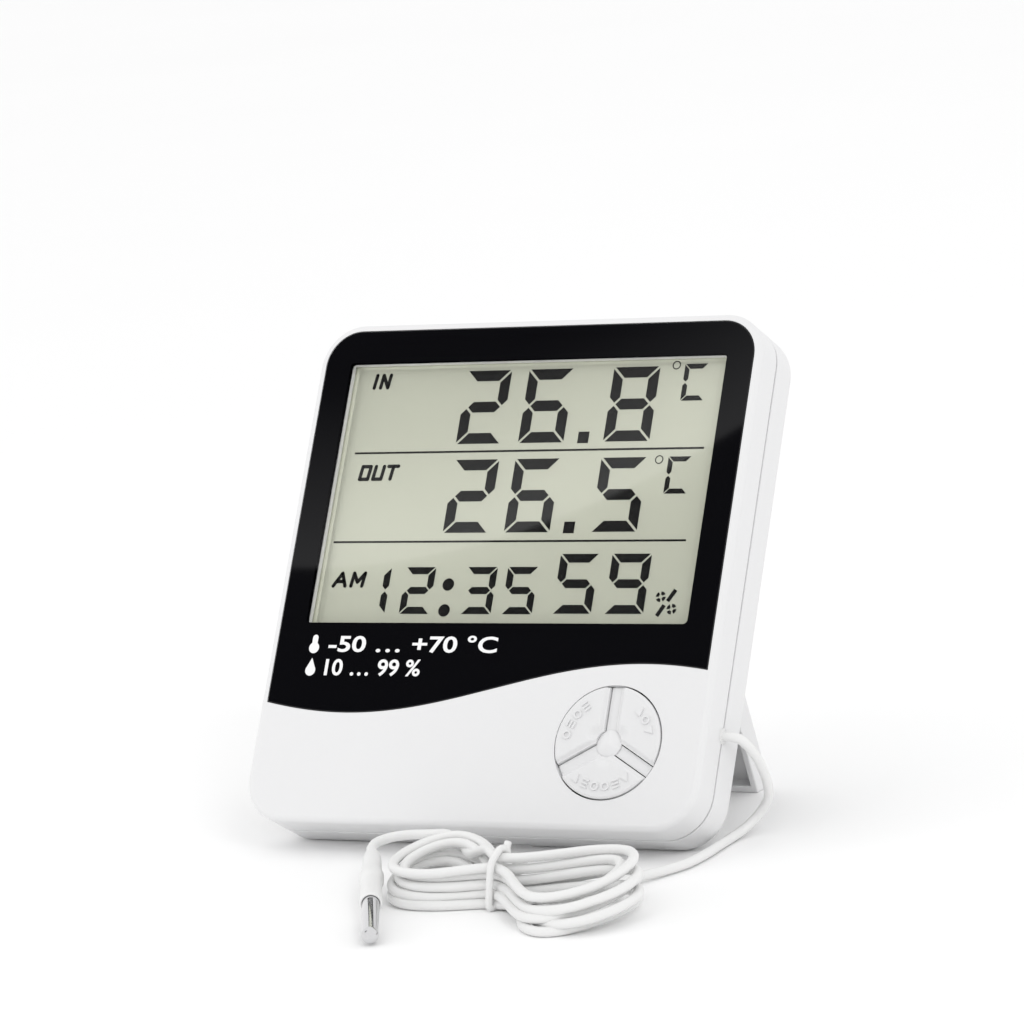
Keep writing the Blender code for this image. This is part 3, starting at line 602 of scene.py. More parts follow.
def settle(line, first, last):
    """The hank's points fall and push each other apart until no stretch lies inside another."""
    start = np.array([tuple(p) for p in line])
    p = start.copy()
    count = len(p)
    free = np.zeros(count)
    free[first:last] = 1.0
    for k in range(SETTLE_RAMP):
        free[first + k] = free[last - 1 - k] = (k + 1) / SETTLE_RAMP
    spacing = np.linalg.norm(np.diff(start, axis=0), axis=1).mean()
    apart = int(OWN_STRETCH / spacing)
    index = np.arange(count)
    order = index[:, None] - index[None, :]
    near = np.abs(order) < apart
    turn = np.array(Matrix.Rotation(HANK_TURN, 3, "Z"))
    local = (start - np.array(HANK_WAIST)) @ turn
    waist = np.exp(-(local[:, 0] / WAIST_REACH) ** 2)
    across = turn[:, 1]
    for step in range(SETTLE_ROUNDS):
        pull = 1.0 if step < SETTLE_ROUNDS * CALM_AFTER else 0.0
        p[:, 2] -= FALL * pull * free
        offset = (p - np.array(HANK_WAIST)) @ across - WAIST_ACROSS
        p -= np.outer(WAIST_PULL * pull * waist * free * offset, across)
        for _ in range(2):
            gap = p[:, None, :] - p[None, :, :]
            length = np.linalg.norm(gap, axis=2) + 1e-6
            push = np.clip(KEPT_APART - length, 0, None)
            push[near] = 0.0
            rise = gap[:, :, 2]
            gap[:, :, 2] = np.where(np.abs(rise) < LEAST_RISE, LEAST_RISE * np.sign(order), rise)
            move = (gap * (push / length)[:, :, None]).sum(1)
            hits = np.maximum((push > 0).sum(1), 1)
            p += PUSH_SHARE * move / np.sqrt(hits)[:, None] * free[:, None]
            p += clear_of_sleeve(p) * free[:, None]
            p[:, 2] = np.maximum(p[:, 2], CORD_R + 0.02)
        shift = p - start
        p = start + shift + EVEN_SHARE * (neighbours_mean(shift) - shift) * free[:, None]
        for weight in SMOOTHING:
            p += weight * (neighbours_mean(p) - p) * free[:, None]
    return [Vector(q) for q in p]


def make_cord():
    """The lead's line: out of the case, through the hank, into the probe."""
    head, tail = leaving(), arriving()
    first_part = smooth_line(head, ROUTE_STEP)
    middle = smooth_line([head[-1], *hank_turns(), tail[0]], ROUTE_STEP)
    route = smooth_line(first_part[:-1] + middle + smooth_line(tail, ROUTE_STEP)[1:], ROUTE_STEP)
    settled = settle(route, len(first_part) - 4, len(first_part) + len(middle) + 4)
    return smooth_line(settled, DRAWN_STEP)


cord_line = make_cord()


def tube(name, line, radius, resolution=5):
    data = bpy.data.curves.new(name, "CURVE")
    data.dimensions = "3D"
    data.bevel_depth = radius * MM
    data.bevel_resolution = resolution
    data.use_fill_caps = True
    spline = data.splines.new("POLY")
    spline.points.add(len(line) - 1)
    for spot, point in zip(spline.points, line):
        spot.co = (*(Vector(point) * MM), 1.0)
    spline.use_smooth = True
    return linked(name, data)


lead = tube("probe_lead", cord_line, CORD_R)
finish_piece(lead, "case", "cord_white", CORD_WHITE, "probe_cable", "cable_hank", "probe_cable_end")


# ---- tie and probe

def waist_crossings():
    """Where the lead passes the tie's plane: (across, height) in the hank's frame."""
    local = [to_hank(p) for p in cord_line]
    return [tuple((a + (b - a) * (a.x / (a.x - b.x)))[1:]) for a, b in zip(local, local[1:])
            if (a.x > 0) != (b.x > 0) and abs(a.y) < 12]


def hull(points):
    """Convex hull of flat points, counterclockwise."""
    points = sorted(set(points))
    sides = []
    for line in (points, points[::-1]):
        side = []
        for p in line:
            while len(side) > 1 and ((side[-1][0] - side[-2][0]) * (p[1] - side[-2][1])
                                     - (side[-1][1] - side[-2][1]) * (p[0] - side[-2][0])) <= 0:
                side.pop()
            side.append(p)
        sides += side[:-1]
    return sides


TIE_R = 0.7
TIE_PITCH = 0.9                              # gained along the bundle in its one turn
TIE_START = radians(62)                 # where its ends meet, round the bundle


def make_tie():
    """A twist tie: once round the bundle, with its two ends left standing."""
    around = []
    for y, z in waist_crossings():
        around += [(y + u, z + v) for u, v in circle(0, 0, CORD_R + TIE_R + 0.1, 20)]
    ring = hull(around)
    middle = (sum(y for y, _ in ring) / len(ring), sum(z for _, z in ring) / len(ring))
    ring = [(y, max(z, TIE_R + 0.02)) for y, z in ring]
    ring.sort(key=lambda p: (atan2(p[1] - middle[1], p[0] - middle[0]) - TIE_START) % (2 * pi))
    count = len(ring)
    line = [(TIE_PITCH * k / count - TIE_PITCH / 2, y, z) for k, (y, z) in enumerate(ring)]
    first, last = Vector(line[0]), Vector(line[-1])
    end_up = [first + Vector(step) for step in ((-0.7, 1.2, 1.6), (-0.5, 0.4, 0.7))]
    end_over = [last + Vector(step) for step in ((0.6, 0.9, -0.1), (0.8, 1.9, -0.7))]
    path = [from_hank(p) for p in end_up + line[::2] + [last] + end_over]
    tie = tube("twist_tie", smooth_line(path, 0.4), TIE_R, 4)
    return finish_piece(tie, "case", "cord_white", CORD_WHITE, "hank_tie")


def probe_matrix(start):
    turn = ALONG.to_track_quat("Z", "Y").to_matrix().to_4x4()
    return Matrix.Scale(MM, 4) @ Matrix.Translation(start) @ turn


def make_probe():
    """Moulded sleeve with a collar, and a polished tube with a rounded flat end."""
    sleeve = turned("probe_sleeve_moulded",
                    [(1.0, 1.2), (1.0, 0.15), (1.15, 0), (1.38, 0.1), (1.5, 0.5), (1.7, 2.0), (1.82, 4.0),
                     (1.9, 8.0), (1.97, 10.6), (2.03, 11.2), (2.26, 11.7), (2.34, 12.2), (2.34, 14.8),
                     (2.26, 15.3), (2.12, 15.8), (2.05, 16.5), (2.05, 20.0), (2.12, 24.0), (2.12, 26.2),
                     (2.06, 26.7), (1.94, 27.0), (1.74, 27.0), (1.72, 26.0)],
                    axis="Z", matrix=probe_matrix(SLEEVE_REAR))
    finish_piece(sleeve, "case", "cord_white", CORD_WHITE, "probe_sleeve")
    length = (PROBE_END - SLEEVE_REAR).length - SLEEVE_L
    nose = 1.4
    end = length - GAP
    profile = [(TIP_R - 0.3, 0.4), (TIP_R - 0.02, -0.6), (TIP_R, 0.2), (TIP_R, end - nose),
               *arc(TIP_R - 1.0, end - nose, 1.0, 10, 90, 8, nose), (0.3, end + 0.02)]
    tip = turned("probe_tube", profile, axis="Z", matrix=probe_matrix(SLEEVE_REAR + ALONG * SLEEVE_L))
    finish_piece(tip, "case", "polished_steel", POLISHED, "probe_tip")
    return sleeve, tip


tie = make_tie()
sleeve, tip = make_probe()


# ---- front shell and lens

def lens_outline(inset, steps=72):
    """The case outline above, a wave below."""
    margin = LENS_MARGIN + inset
    top = [p for p in rounded(margin) if p[1] > CASE_H / 2]
    half = CASE_W / 2 - margin
    wave = []
    for k in range(steps + 1):
        x = -half + 2 * half * k / steps
        wave.append((x, WAVE_MID - WAVE_RISE * cos(pi * (x - WAVE_LOW_X) / WAVE_RUN) + inset))
    return top + wave


def spider_outline(ends, bar, hub):
    """The Y of bars between the keys, with a hub at its middle; ends are how far the three bars reach."""
    points = []
    for middle, end in zip((90, 210, 330), ends):
        turn = radians(middle)
        out, side = (cos(turn), sin(turn)), (-sin(turn), cos(turn))
        near = sqrt(hub ** 2 - bar ** 2)
        for reach, shift in ((near, -bar), (end, -bar), (end, bar), (near, bar)):
            points.append((KEYS_X + reach * out[0] + shift * side[0],
                           KEYS_Z + reach * out[1] + shift * side[1]))
    return points


def join(target, *others):
    """The others' meshes go into the target's."""
    for other in others:
        work = bmesh.new()
        work.from_mesh(target.data)
        work.from_mesh(other.data)
        work.to_mesh(target.data)
        work.free()
        bpy.data.objects.remove(other, do_unlink=True)


HUB_VISIBLE_R = 2.4
HUB_ROOT = 1.12                              # the dome's foot, in visible radii
HUB_RISE = 0.75
BAR_ENDS = (KEYS_R - 0.32, KEYS_R - 0.32, KEYS_R - 0.66)


def make_hub():
    """A low dome with three flats, one towards each key."""
    rings = []
    levels = 10
    for level in range(levels + 1):
        r = HUB_VISIBLE_R * HUB_ROOT * (1 - level / levels) + 0.02
        ring = []
        for k in range(48):
            turn = 2 * pi * k / 48
            flat = max(cos(turn - radians(a)) for a in KEY_ANGLES.values())
            fall = (r / (HUB_VISIBLE_R * HUB_ROOT)) * (0.55 + 0.45 * flat)
            ring.append((KEYS_X + r * cos(turn), BAR_SUNK - HUB_RISE * (1 - fall ** 1.6),
                         KEYS_Z + r * sin(turn)))
        rings.append(ring)
    return mesh_from("hub", *skin(rings), CASE, 60)


def shell_rings(profile):
    """Rings of the case's outline at each (inset, y) of the profile."""
    return skin([[(x, y, z) for x, z in rounded(inset)] for inset, y in profile])


def lead_notch():
    """A cutter for the lead's way out, through both halves' edges."""
    ends = [(NOTCH_R, CASE_W / 2 - 5), (NOTCH_R, CASE_W / 2 + 2)]
    return turned("lead_notch", ends, (0, EXIT_Y, EXIT_Z), "X", 32)


def make_front_shell():
    edge = SEAM_Y - SEAM_OPEN
    profile = [*arc(FRONT_EDGE_R, FRONT_EDGE_R, FRONT_EDGE_R, 270, 180, 6), (0, edge - SEAM_BEVEL),
               (SEAM_BEVEL, edge), (WALL, edge), (WALL, FRONT_WALL)]
    body = mesh_from("front_shell_moulded", *shell_rings(profile), CASE)
    carve(body,
          prism("recess", lens_outline(0), (-1, LENS_T + GAP)),
          block("window", (-WINDOW_HALF_W, WINDOW_HALF_W), (0.5, 3), WINDOW_Z),
          prism("disc", circle(KEYS_X, KEYS_Z, KEYS_R, 120), (-1, 3)), lead_notch())
    soften(body, 0.12)
    upper = prism("bars", spider_outline(BAR_ENDS, BAR_HALF, HUB_VISIBLE_R), (BAR_SUNK, FRONT_WALL))
    soften(upper, 0.08)
    root = spider_outline([KEYS_R + 0.8] * 3, BAR_HALF - 0.05, HUB_VISIBLE_R - 0.05)
    join(body, upper, prism("bars_root", root, (BAR_SUNK + 0.5, FRONT_WALL - 0.05)), make_hub())
    finish_piece(body, "case", "white_shell", WHITE_SHELL, "front_shell")


def window_outline(inset, corner=0.9, steps=6):
    """The clear window in the lens's print, with small round corners."""
    z0, z1 = WINDOW_Z
    points = rounded(inset, steps, 2 * WINDOW_HALF_W, z1 - z0, corner + inset)
    return [(x, z + z0) for x, z in points]


def make_lens():
    """One plate of acrylic, printed black behind except for the window: two materials on one solid."""
    work = bmesh.new()

    def loop(outline, y):
        verts = [work.verts.new(CASE @ Vector((x, y, z))) for x, z in outline]
        return verts, [work.edges.new((a, b)) for a, b in zip(verts, verts[1:] + verts[:1])]

    outer = [loop(lens_outline(GAP * 0.4 + inset), y)
             for inset, y in ((LENS_EDGE, 0.0), (LENS_EDGE * 0.3, LENS_EDGE * 0.3), (0, LENS_EDGE),
                              (0, LENS_T))]
    for (low, _), (high, _) in zip(outer, outer[1:]):
        for k in range(len(low)):
            after = (k + 1) % len(low)
            work.faces.new((low[k], low[after], high[after], high[k]))
    for (_, rim), y in ((outer[0], 0.0), (outer[-1], LENS_T)):
        verts, edges = loop(window_outline(0), y)
        bmesh.ops.triangle_fill(work, use_beauty=True, use_dissolve=False, edges=rim + edges)
        work.faces.new(verts).material_index = 1
    bmesh.ops.recalc_face_normals(work, faces=work.faces[:])
    mesh = bpy.data.meshes.new("lens_plate")
    work.to_mesh(mesh)
    work.free()
    mesh.shade_smooth()
    face = CASE.to_3x3() @ Vector((0, 1, 0))
    for polygon in mesh.polygons:
        polygon.use_smooth = abs(polygon.normal.dot(face.normalized())) < 0.999
    finish_piece(linked("lens_plate", mesh), "case", "dark_lens", [DARK_PRINT, CLEAR_WINDOW], "display_lens")


# ---- liquid crystal segments and print

SEGMENTS = {"1": "bc", "2": "abged", "3": "abgcd", "5": "afgcd", "6": "afgedc", "8": "abcdefg",
            "9": "abcdfg", "C": "afed"}


def shrunk(outline, by):
    """A convex outline moved inwards."""
    count = len(outline)
    area = sum(outline[k][0] * outline[(k + 1) % count][1] - outline[(k + 1) % count][0] * outline[k][1]
               for k in range(count))
    sign = 1 if area > 0 else -1
    lines = []
    for k in range(count):
        (x0, z0), (x1, z1) = outline[k], outline[(k + 1) % count]
        length = hypot(x1 - x0, z1 - z0)
        nx, nz = -(z1 - z0) / length * sign, (x1 - x0) / length * sign
        lines.append((nx, nz, nx * x0 + nz * z0 + by))
    corners = []
    for k in range(count):
        (a, b, c), (d, e, f) = lines[k - 1], lines[k]
        det = a * e - b * d
        corners.append(((c * e - b * f) / det, (a * f - c * d) / det))
    return corners


def digit(mark, x, z, width, height, thick):
    """Outlines of the lit segments of one figure, its lower left corner at (x, z)."""
    x1, z1, zm, half, t = x + width, z + height, z + height / 2, thick / 2, thick
    shapes = {
        "a": [(x, z1), (x1, z1), (x1 - t, z1 - t), (x + t, z1 - t)],
        "b": [(x1, z1), (x1, zm + half), (x1 - half, zm), (x1 - t, zm + half), (x1 - t, z1 - t)],
        "c": [(x1, z), (x1, zm - half), (x1 - half, zm), (x1 - t, zm - half), (x1 - t, z + t)],
        "d": [(x, z), (x1, z), (x1 - t, z + t), (x + t, z + t)],
        "e": [(x, z), (x, zm - half), (x + half, zm), (x + t, zm - half), (x + t, z + t)],
        "f": [(x, z1), (x, zm + half), (x + half, zm), (x + t, zm + half), (x + t, z1 - t)],
        "g": [(x + half, zm), (x + t, zm + half), (x1 - t, zm + half), (x1 - half, zm),
              (x1 - t, zm - half), (x + t, zm - half)],
    }
    return [shrunk(shapes[s], 0.09 * thick) for s in SEGMENTS[mark]]


def bar(x0, z0, x1, z1, width):
    """A thin straight line as an outline."""
    length = hypot(x1 - x0, z1 - z0)
    u, v = -(z1 - z0) / length * width / 2, (x1 - x0) / length * width / 2
    return [(x0 + u, z0 + v), (x1 + u, z1 + v), (x1 - u, z1 - v), (x0 - u, z0 - v)]


def ring_parts(x, z, radius, line, count=24):
    """A thin ring as short outlines side by side."""
    outer, inner = circle(x, z, radius, count), circle(x, z, radius - line, count)
    return [[outer[k], outer[(k + 1) % count], inner[(k + 1) % count], inner[k]] for k in range(count)]


def plates(name, outlines, y_front, y_back):
    """Flat plates of the outlines, as one object."""
    vertices, faces = [], []
    for outline in outlines:
        more, skins = skin([[(x, y, z) for x, z in outline] for y in (y_front, y_back)])
        faces += [tuple(i + len(vertices) for i in face) for face in skins]
        vertices += more
    return mesh_from(name, vertices, faces, CASE, 20)


STROKES = {
    "I": [(0.5, 0, 0.5, 1)],
    "N": [(0, 0, 0, 1), (0, 1, 1, 0), (1, 0, 1, 1)],
    "O": [(0, 0, 0, 1), (1, 0, 1, 1), (0, 0, 1, 0), (0, 1, 1, 1)],
    "U": [(0, 0, 0, 1), (1, 0, 1, 1), (0, 0, 1, 0)],
    "T": [(0.5, 0, 0.5, 1), (-0.1, 1, 1.1, 1)],
    "A": [(-0.1, 0, 0.5, 1), (0.5, 1, 1.1, 0), (0.15, 0.35, 0.85, 0.35)],
    "M": [(0, 0, 0, 1), (0, 1, 0.55, 0.3), (0.55, 0.3, 1.1, 1), (1.1, 0, 1.1, 1)],
}


def small_word(word, x, z, height, width, pitch, stroke=0.75, slope=0.14):
    """Slanted capitals of straight strokes, with rounded joints."""
    shapes = []
    for k, letter in enumerate(word):
        for x0, z0, x1, z1 in STROKES[letter]:
            ends = [(x + k * pitch + u * width + slope * height * v, z + v * height)
                    for u, v in ((x0, z0), (x1, z1))]
            shapes += [bar(*ends[0], *ends[1], stroke), *(circle(*end, stroke / 2, 12) for end in ends)]
    return shapes


def lettering(text, x_range, z_range, y_front, y_back, bold=0.02):
    """A short generic mark, fitted to its box."""
    data = bpy.data.curves.new("mark", "FONT")
    data.body = text
    data.offset = bold
    data.resolution_u = 4
    data.extrude = 0.5
    made = linked("mark", data)
    graph = bpy.context.evaluated_depsgraph_get()
    mesh = bpy.data.meshes.new_from_object(made.evaluated_get(graph))
    bpy.data.objects.remove(made, do_unlink=True)
    xs, ys = [v.co.x for v in mesh.vertices], [v.co.y for v in mesh.vertices]
    for v in mesh.vertices:
        share_x = (v.co.x - min(xs)) / (max(xs) - min(xs))
        share_z = (v.co.y - min(ys)) / (max(ys) - min(ys))
        v.co = CASE @ Vector((x_range[0] + share_x * (x_range[1] - x_range[0]),
                              y_front if v.co.z > 0 else y_back,
                              z_range[0] + share_z * (z_range[1] - z_range[0])))
    return linked("mark", mesh)


# Rows of figures: height of their feet, width, height and stroke of a figure, and each one's left side
FIGURES = ((79.3, 10.7, 16.1, 2.75, {"2": -16.7, "6": -2.5, "8": 16.6}),
           (60.5, 10.7, 15.9, 2.75, {"2": -16.3, "6": -2.4, "5": 16.9}),
           (43.6, 7.2, 10.1, 1.8, {"1": -33.4, "2": -23.2, "3": -9.2, "5": 0.0}),
           (43.7, 9.0, 12.7, 2.2, {"5": 11.3, "9": 22.7}),
           (87.7, 5.3, 7.9, 1.25, {"C": 32.4}), (68.4, 5.3, 7.9, 1.25, {"C": 31.8}))


def make_display():
    """Lit segments on the glass: two temperatures, the time and the humidity with their signs."""
    shapes = []
    for z, width, height, thick, row in FIGURES:
        for mark, x in row.items():
            shapes += digit(mark, x, z, width, height, thick)
    shapes += [[(11.1, z), (13.5, z), (13.5, z + 2.4), (11.1, z + 2.4)] for z in (79.3, 60.5)]
    for x, z in ((30.6, 95.3), (29.9, 75.6)):
        shapes += ring_parts(x, z, 0.9, 0.2)
    shapes += [circle(-12.8, z, 1.3, 24) for z in (49.9, 44.5)]
    shapes += [bar(-39.6, 77.9, 39.3, 77.9, 0.4), bar(-41.0, 58.9, 38.4, 58.9, 0.4)]
    for x, z in ((34.8, 47.4), (37.5, 44.9)):
        shapes += [part for k, part in enumerate(ring_parts(x, z, 1.1, 0.68, 12)) if k % 3]
    shapes += [bar(34.5, 43.5, 35.8, 45.7, 0.85), bar(36.4, 46.5, 37.8, 48.8, 0.85)]
    shapes += small_word("IN", -38.6, 92.0, 2.7, 1.7, 2.35)
    shapes += small_word("OUT", -37.5, 72.3, 2.7, 1.9, 3.1)
    shapes += small_word("AM", -39.1, 49.6, 2.7, 2.3, 3.9)
    marks = plates("lcd_segments", shapes, LCD_Y - 0.06, LCD_Y - 0.02)
    finish_piece(marks, "case", "lcd_glass", LCD_BLACK)


def keyhole_outline(x, z, radius, slot_radius, rise):
    """A round hole with a slot above it, which ends in a half circle."""
    opening = degrees(asin(slot_radius / radius))
    return (arc(x, z, radius, 90 + opening, 450 - opening, 40)
            + arc(x, z + rise, slot_radius, 0, 180, 16))


def drop_outline(x, z, radius):
    """A drop: round below, pointed above."""
    return [(x, z + 2.25 * radius)] + arc(x, z, radius, 145, 395, 16)


def make_print():
    """Generic marks under the window: a thermometer and a drop with plain measuring ranges."""
    faces = (-0.02, 0.03)
    sign_x, words_x = -39.7, -36.4
    marks = plates("printed_marks", [keyhole_outline(sign_x, 35.8, 1.15, 0.62, 2.1),
                                     drop_outline(sign_x, 31.1, 1.15)], *faces)
    join(marks, lettering("-50 \u2026 +70 \u00b0C", (words_x, 2.0), (34.9, 38.5), *faces),
         lettering("10 \u2026 99 %", (words_x, -14.5), (30.0, 33.5), *faces))
    finish_piece(marks, "case", "white_keys", PRINT_WHITE)


# ---- keys

KEY_IN_R = HUB_VISIBLE_R + 0.35
KEY_OUT_R = KEYS_R - GAP
SIDE_DROP, SIDE_RUN = 0.62, 0.95             # a key's face falls away towards the bars,
RIM_DROP, RIM_RUN = 0.30, 0.35               # towards the disc's rim
SCOOP_DEPTH, SCOOP_R = 0.75, 2.1             # and round the hub
FACE_DENSER = 1.35                           # its points stand closer near the bars


def ease(value):
    value = min(max(value, 0.0), 1.0)
    return value * value * (3 - 2 * value)


def key_height(r, side, swing):
    """How far a key's face stands out at distance r from the hub and side from the bar's edge."""
    scoop = hypot(r - KEY_IN_R - 0.3, 0.9 * r * swing)
    return (KEY_PROUD - SIDE_DROP * (1 - ease(side / SIDE_RUN))
            - RIM_DROP * (1 - ease((KEY_OUT_R - r) / RIM_RUN)) - SCOOP_DEPTH * (1 - ease(scoop / SCOOP_R)))


def make_key(name, middle):
    """A sector key: a face with sloped sides, scooped at the hub, on straight walls closed flat behind."""
    rows, columns = 44, 52
    offset = BAR_HALF + GAP * 0.6
    vertices = []
    for row in range(rows + 1):
        r = KEY_IN_R + (KEY_OUT_R - KEY_IN_R) * row / rows
        reach = radians(60) - asin(offset / r)
        for column in range(columns + 1):
            across = 2 * column / columns - 1
            across = copysign(1 - (1 - abs(across)) ** FACE_DENSER, across)
            swing = reach * across
            side = r * sin(radians(60) - abs(swing)) - offset
            turn = radians(middle) + swing
            vertices.append((KEYS_X + r * cos(turn), -key_height(r, side, swing),
                             KEYS_Z + r * sin(turn)))
    wide = columns + 1
    faces = grid_faces(rows, columns)
    rim = [*range(wide), *(row * wide + columns for row in range(1, rows + 1)),
           *(rows * wide + column for column in range(columns - 1, -1, -1)),
           *(row * wide for row in range(rows - 1, 0, -1))]
    start = len(vertices)
    vertices += [(vertices[i][0], FRONT_WALL + 0.8, vertices[i][2]) for i in rim]
    count = len(rim)
    faces += [(rim[k], rim[(k + 1) % count], start + (k + 1) % count, start + k) for k in range(count)]
    faces.append(tuple(range(start, start + count)))
    key = mesh_from(f"{name}_key_moulded", vertices, faces, CASE, 42)
    join(key, *key_signs(name, middle))
    finish_piece(key, f"{name}_key", "white_keys", WHITE_KEYS, f"{name}_button")


SIGNS = {"mode": ("ring", "bars", "ring", "bars"), "adjust": ("up", "ring", "down"),
         "memory": ("up", "bars", "ring", "ring", "bars", "down")}
SIGN_PATH_R, SIGN_STEP = 8.9, radians(14.5)
SIGN_RISE = 0.32
RING_R, SIGN_LINE, BARS_HALF_W, BARS_APART, POINT_HALF = 0.88, 0.34, 0.7, 0.72, 0.85


def key_signs(name, middle):
    """Small raised signs along the key's arc, their feet inwards on the upper keys, outwards on the lower."""
    signs = SIGNS[name]
    flip = 1 if middle < 180 else -1
    made = []
    for k, sign in enumerate(signs):
        turn = radians(middle) - flip * SIGN_STEP * (k - (len(signs) - 1) / 2)
        out = (cos(turn) * flip, sin(turn) * flip)
        right = (out[1], -out[0])
        cx, cz = KEYS_X + SIGN_PATH_R * cos(turn), KEYS_Z + SIGN_PATH_R * sin(turn)

        def spot(u, v):
            return (cx + right[0] * u + out[0] * v, cz + right[1] * u + out[1] * v)

        if sign == "ring":
            outlines = [[spot(x, z) for x, z in part] for part in ring_parts(0, 0, RING_R, SIGN_LINE, 20)]
        elif sign == "bars":
            outlines = [[spot(x, z) for x, z in bar(-BARS_HALF_W, v, BARS_HALF_W, v, SIGN_LINE)]
                        for v in (-BARS_APART, 0.0, BARS_APART)]
        else:
            peak = POINT_HALF if sign == "up" else -POINT_HALF
            outlines = [[spot(-POINT_HALF, -peak), spot(POINT_HALF, -peak), spot(0, peak)]]
        made.append(plates("sign", outlines, -KEY_PROUD - SIGN_RISE, -KEY_PROUD + 0.1))
    return made


make_front_shell()
make_lens()
make_display()
make_print()
for key_name, key_angle in KEY_ANGLES.items():
    make_key(key_name, key_angle)


# ---- rear cover, door, screws, rear keys, stand

def make_rear_cover():
    start, lip = SEAM_Y + GAP, WALL + GAP
    edge, inside = start + SEAM_OPEN, CASE_D - REAR_WALL / 2
    profile = [*arc(REAR_EDGE_R, CASE_D - REAR_EDGE_R, REAR_EDGE_R, 90, 180, 9), (0, edge + SEAM_BEVEL),
               (SEAM_BEVEL, edge), (lip, edge), (lip, start - 1.6), (lip + 1, start - 1.6),
               (lip + 1, start + 2.0), (WALL, start + 3.3), (WALL, CASE_D - REAR_EDGE_R),
               (WALL + 2, CASE_D - REAR_WALL)]
    cover = mesh_from("rear_cover_moulded", *shell_rings(profile), CASE)
    side = RECESS_HALF_W + RECESS_WALL * 2
    tub = TUB_HALF_W + TUB_WALL
    carve(cover,
          block("recess_block", (-side, side), (RECESS_FLOOR - RECESS_WALL, inside),
                (RECESS_Z[0] - RECESS_WALL, RECESS_Z[1] + RECESS_WALL)),
          block("tub_block", (-tub, tub), (TUB_FLOOR_Y - TUB_SKIN, inside),
                (BATTERY_Z - TUB_HALF_H - TUB_WALL, BATTERY_Z + TUB_HALF_H + TUB_WALL)),
          *[turned("post", [(BOSS_R, start), (BOSS_R, inside)], (x, 0, z), count=24)
            for x, z in SCREW_PLACES], operation="UNION")
    bore = [(SCREW_SHANK_R + 0.4, 5), (SCREW_SHANK_R + 0.4, CASE_D - SCREW_SEAT),
            (SCREW_HEAD_R + GAP, CASE_D - SCREW_SEAT), (SCREW_HEAD_R + GAP, BEHIND)]
    hinge_end = RECESS_HALF_W + 1.8
    carve(cover,
          *[turned("screw_bore", bore, (x, 0, z), count=32) for x, z in SCREW_PLACES],
          block("recess", (-RECESS_HALF_W, RECESS_HALF_W), (RECESS_FLOOR, BEHIND), RECESS_Z),
          turned("bores", [(STUB_R + GAP, -hinge_end), (STUB_R + GAP, hinge_end)],
                 (0, HINGE_Y, HINGE_Z), "X", 32),
          prism("finger_notch", circle(0, 1.0, 9.0, 72), (RECESS_FLOOR + 1.5, BEHIND)),
          block("tub", (-TUB_HALF_W, TUB_HALF_W), (TUB_FLOOR_Y, BEHIND),
                (BATTERY_Z - TUB_HALF_H, BATTERY_Z + TUB_HALF_H)),
          prism("door_seat", door_outline(0), (CASE_D - DOOR_T - GAP, BEHIND)),
          *[turned("key_opening", [(REAR_KEY_R + GAP, WITHIN), (REAR_KEY_R + GAP, BEHIND)],
                   (x, 0, REAR_KEY_Z), count=32) for x in REAR_KEY_XS.values()],
          prism("keyhole", keyhole_outline(0, KEYHOLE_Z, KEYHOLE_R, KEYHOLE_SLOT_R, KEYHOLE_RISE),
                (13, BEHIND)),
          *[prism("vent", slot_outline(side * x, VENT_Z, VENT_W), (WITHIN, BEHIND))
            for side in (-1, 1) for x in VENT_XS],
          lead_notch())
    soften(cover, 0.15)
    finish_piece(cover, "case", "white_shell", WHITE_SHELL, "rear_cover")


def slot_outline(x, z_range, width):
    """An upright slot with round ends."""
    top = arc(x, z_range[1] - width / 2, width / 2, 0, 180, 8)
    return top + [(2 * x - u, z_range[0] + z_range[1] - v) for u, v in top]


def door_outline(inset):
    """The battery door's rounded rectangle."""
    half_w, half_h = (half + DOOR_LEDGE - inset for half in (TUB_HALF_W, TUB_HALF_H))
    return [(x, z + BATTERY_Z - half_h) for x, z in rounded(0, 6, 2 * half_w, 2 * half_h, 1.2)]


def make_door():
    door = prism("battery_door_moulded", door_outline(GAP), (CASE_D - DOOR_T, CASE_D))
    top = BATTERY_Z + TUB_HALF_H + DOOR_LEDGE - GAP
    grooves = [block("groove", (-5 + 0.8 * k, 5 - 0.8 * k), (CASE_D - 0.4, BEHIND),
                     (top - 3.35 - 1.4 * k, top - 2.65 - 1.4 * k)) for k in range(3)]
    carve(door, *grooves)
    soften(door, 0.15)
    finish_piece(door, "door", "white_shell", WHITE_SHELL, "battery_door")


def make_screws():
    """Pan heads with a cross recess."""
    seat = CASE_D - SCREW_SEAT + GAP
    for k, (x, z) in enumerate(SCREW_PLACES):
        profile = [(0.5, 3.2), (SCREW_SHANK_R, 4.2), (SCREW_SHANK_R, seat), (SCREW_HEAD_R, seat),
                   *arc(0, seat + 0.7, SCREW_HEAD_R, 0, 80, 8, 0.9)]
        screw = turned(f"case_screw_turned_{k + 1}", profile, (x, 0, z), count=40)
        carve(screw, *[block("cross", (x - u, x + u), (seat + 0.5, BEHIND), (z - v, z + v))
                       for u, v in ((1.15, 0.22), (0.22, 1.15))])
        finish_piece(screw, "case", "plated_steel", STEEL, f"case_screw_{k + 1}")


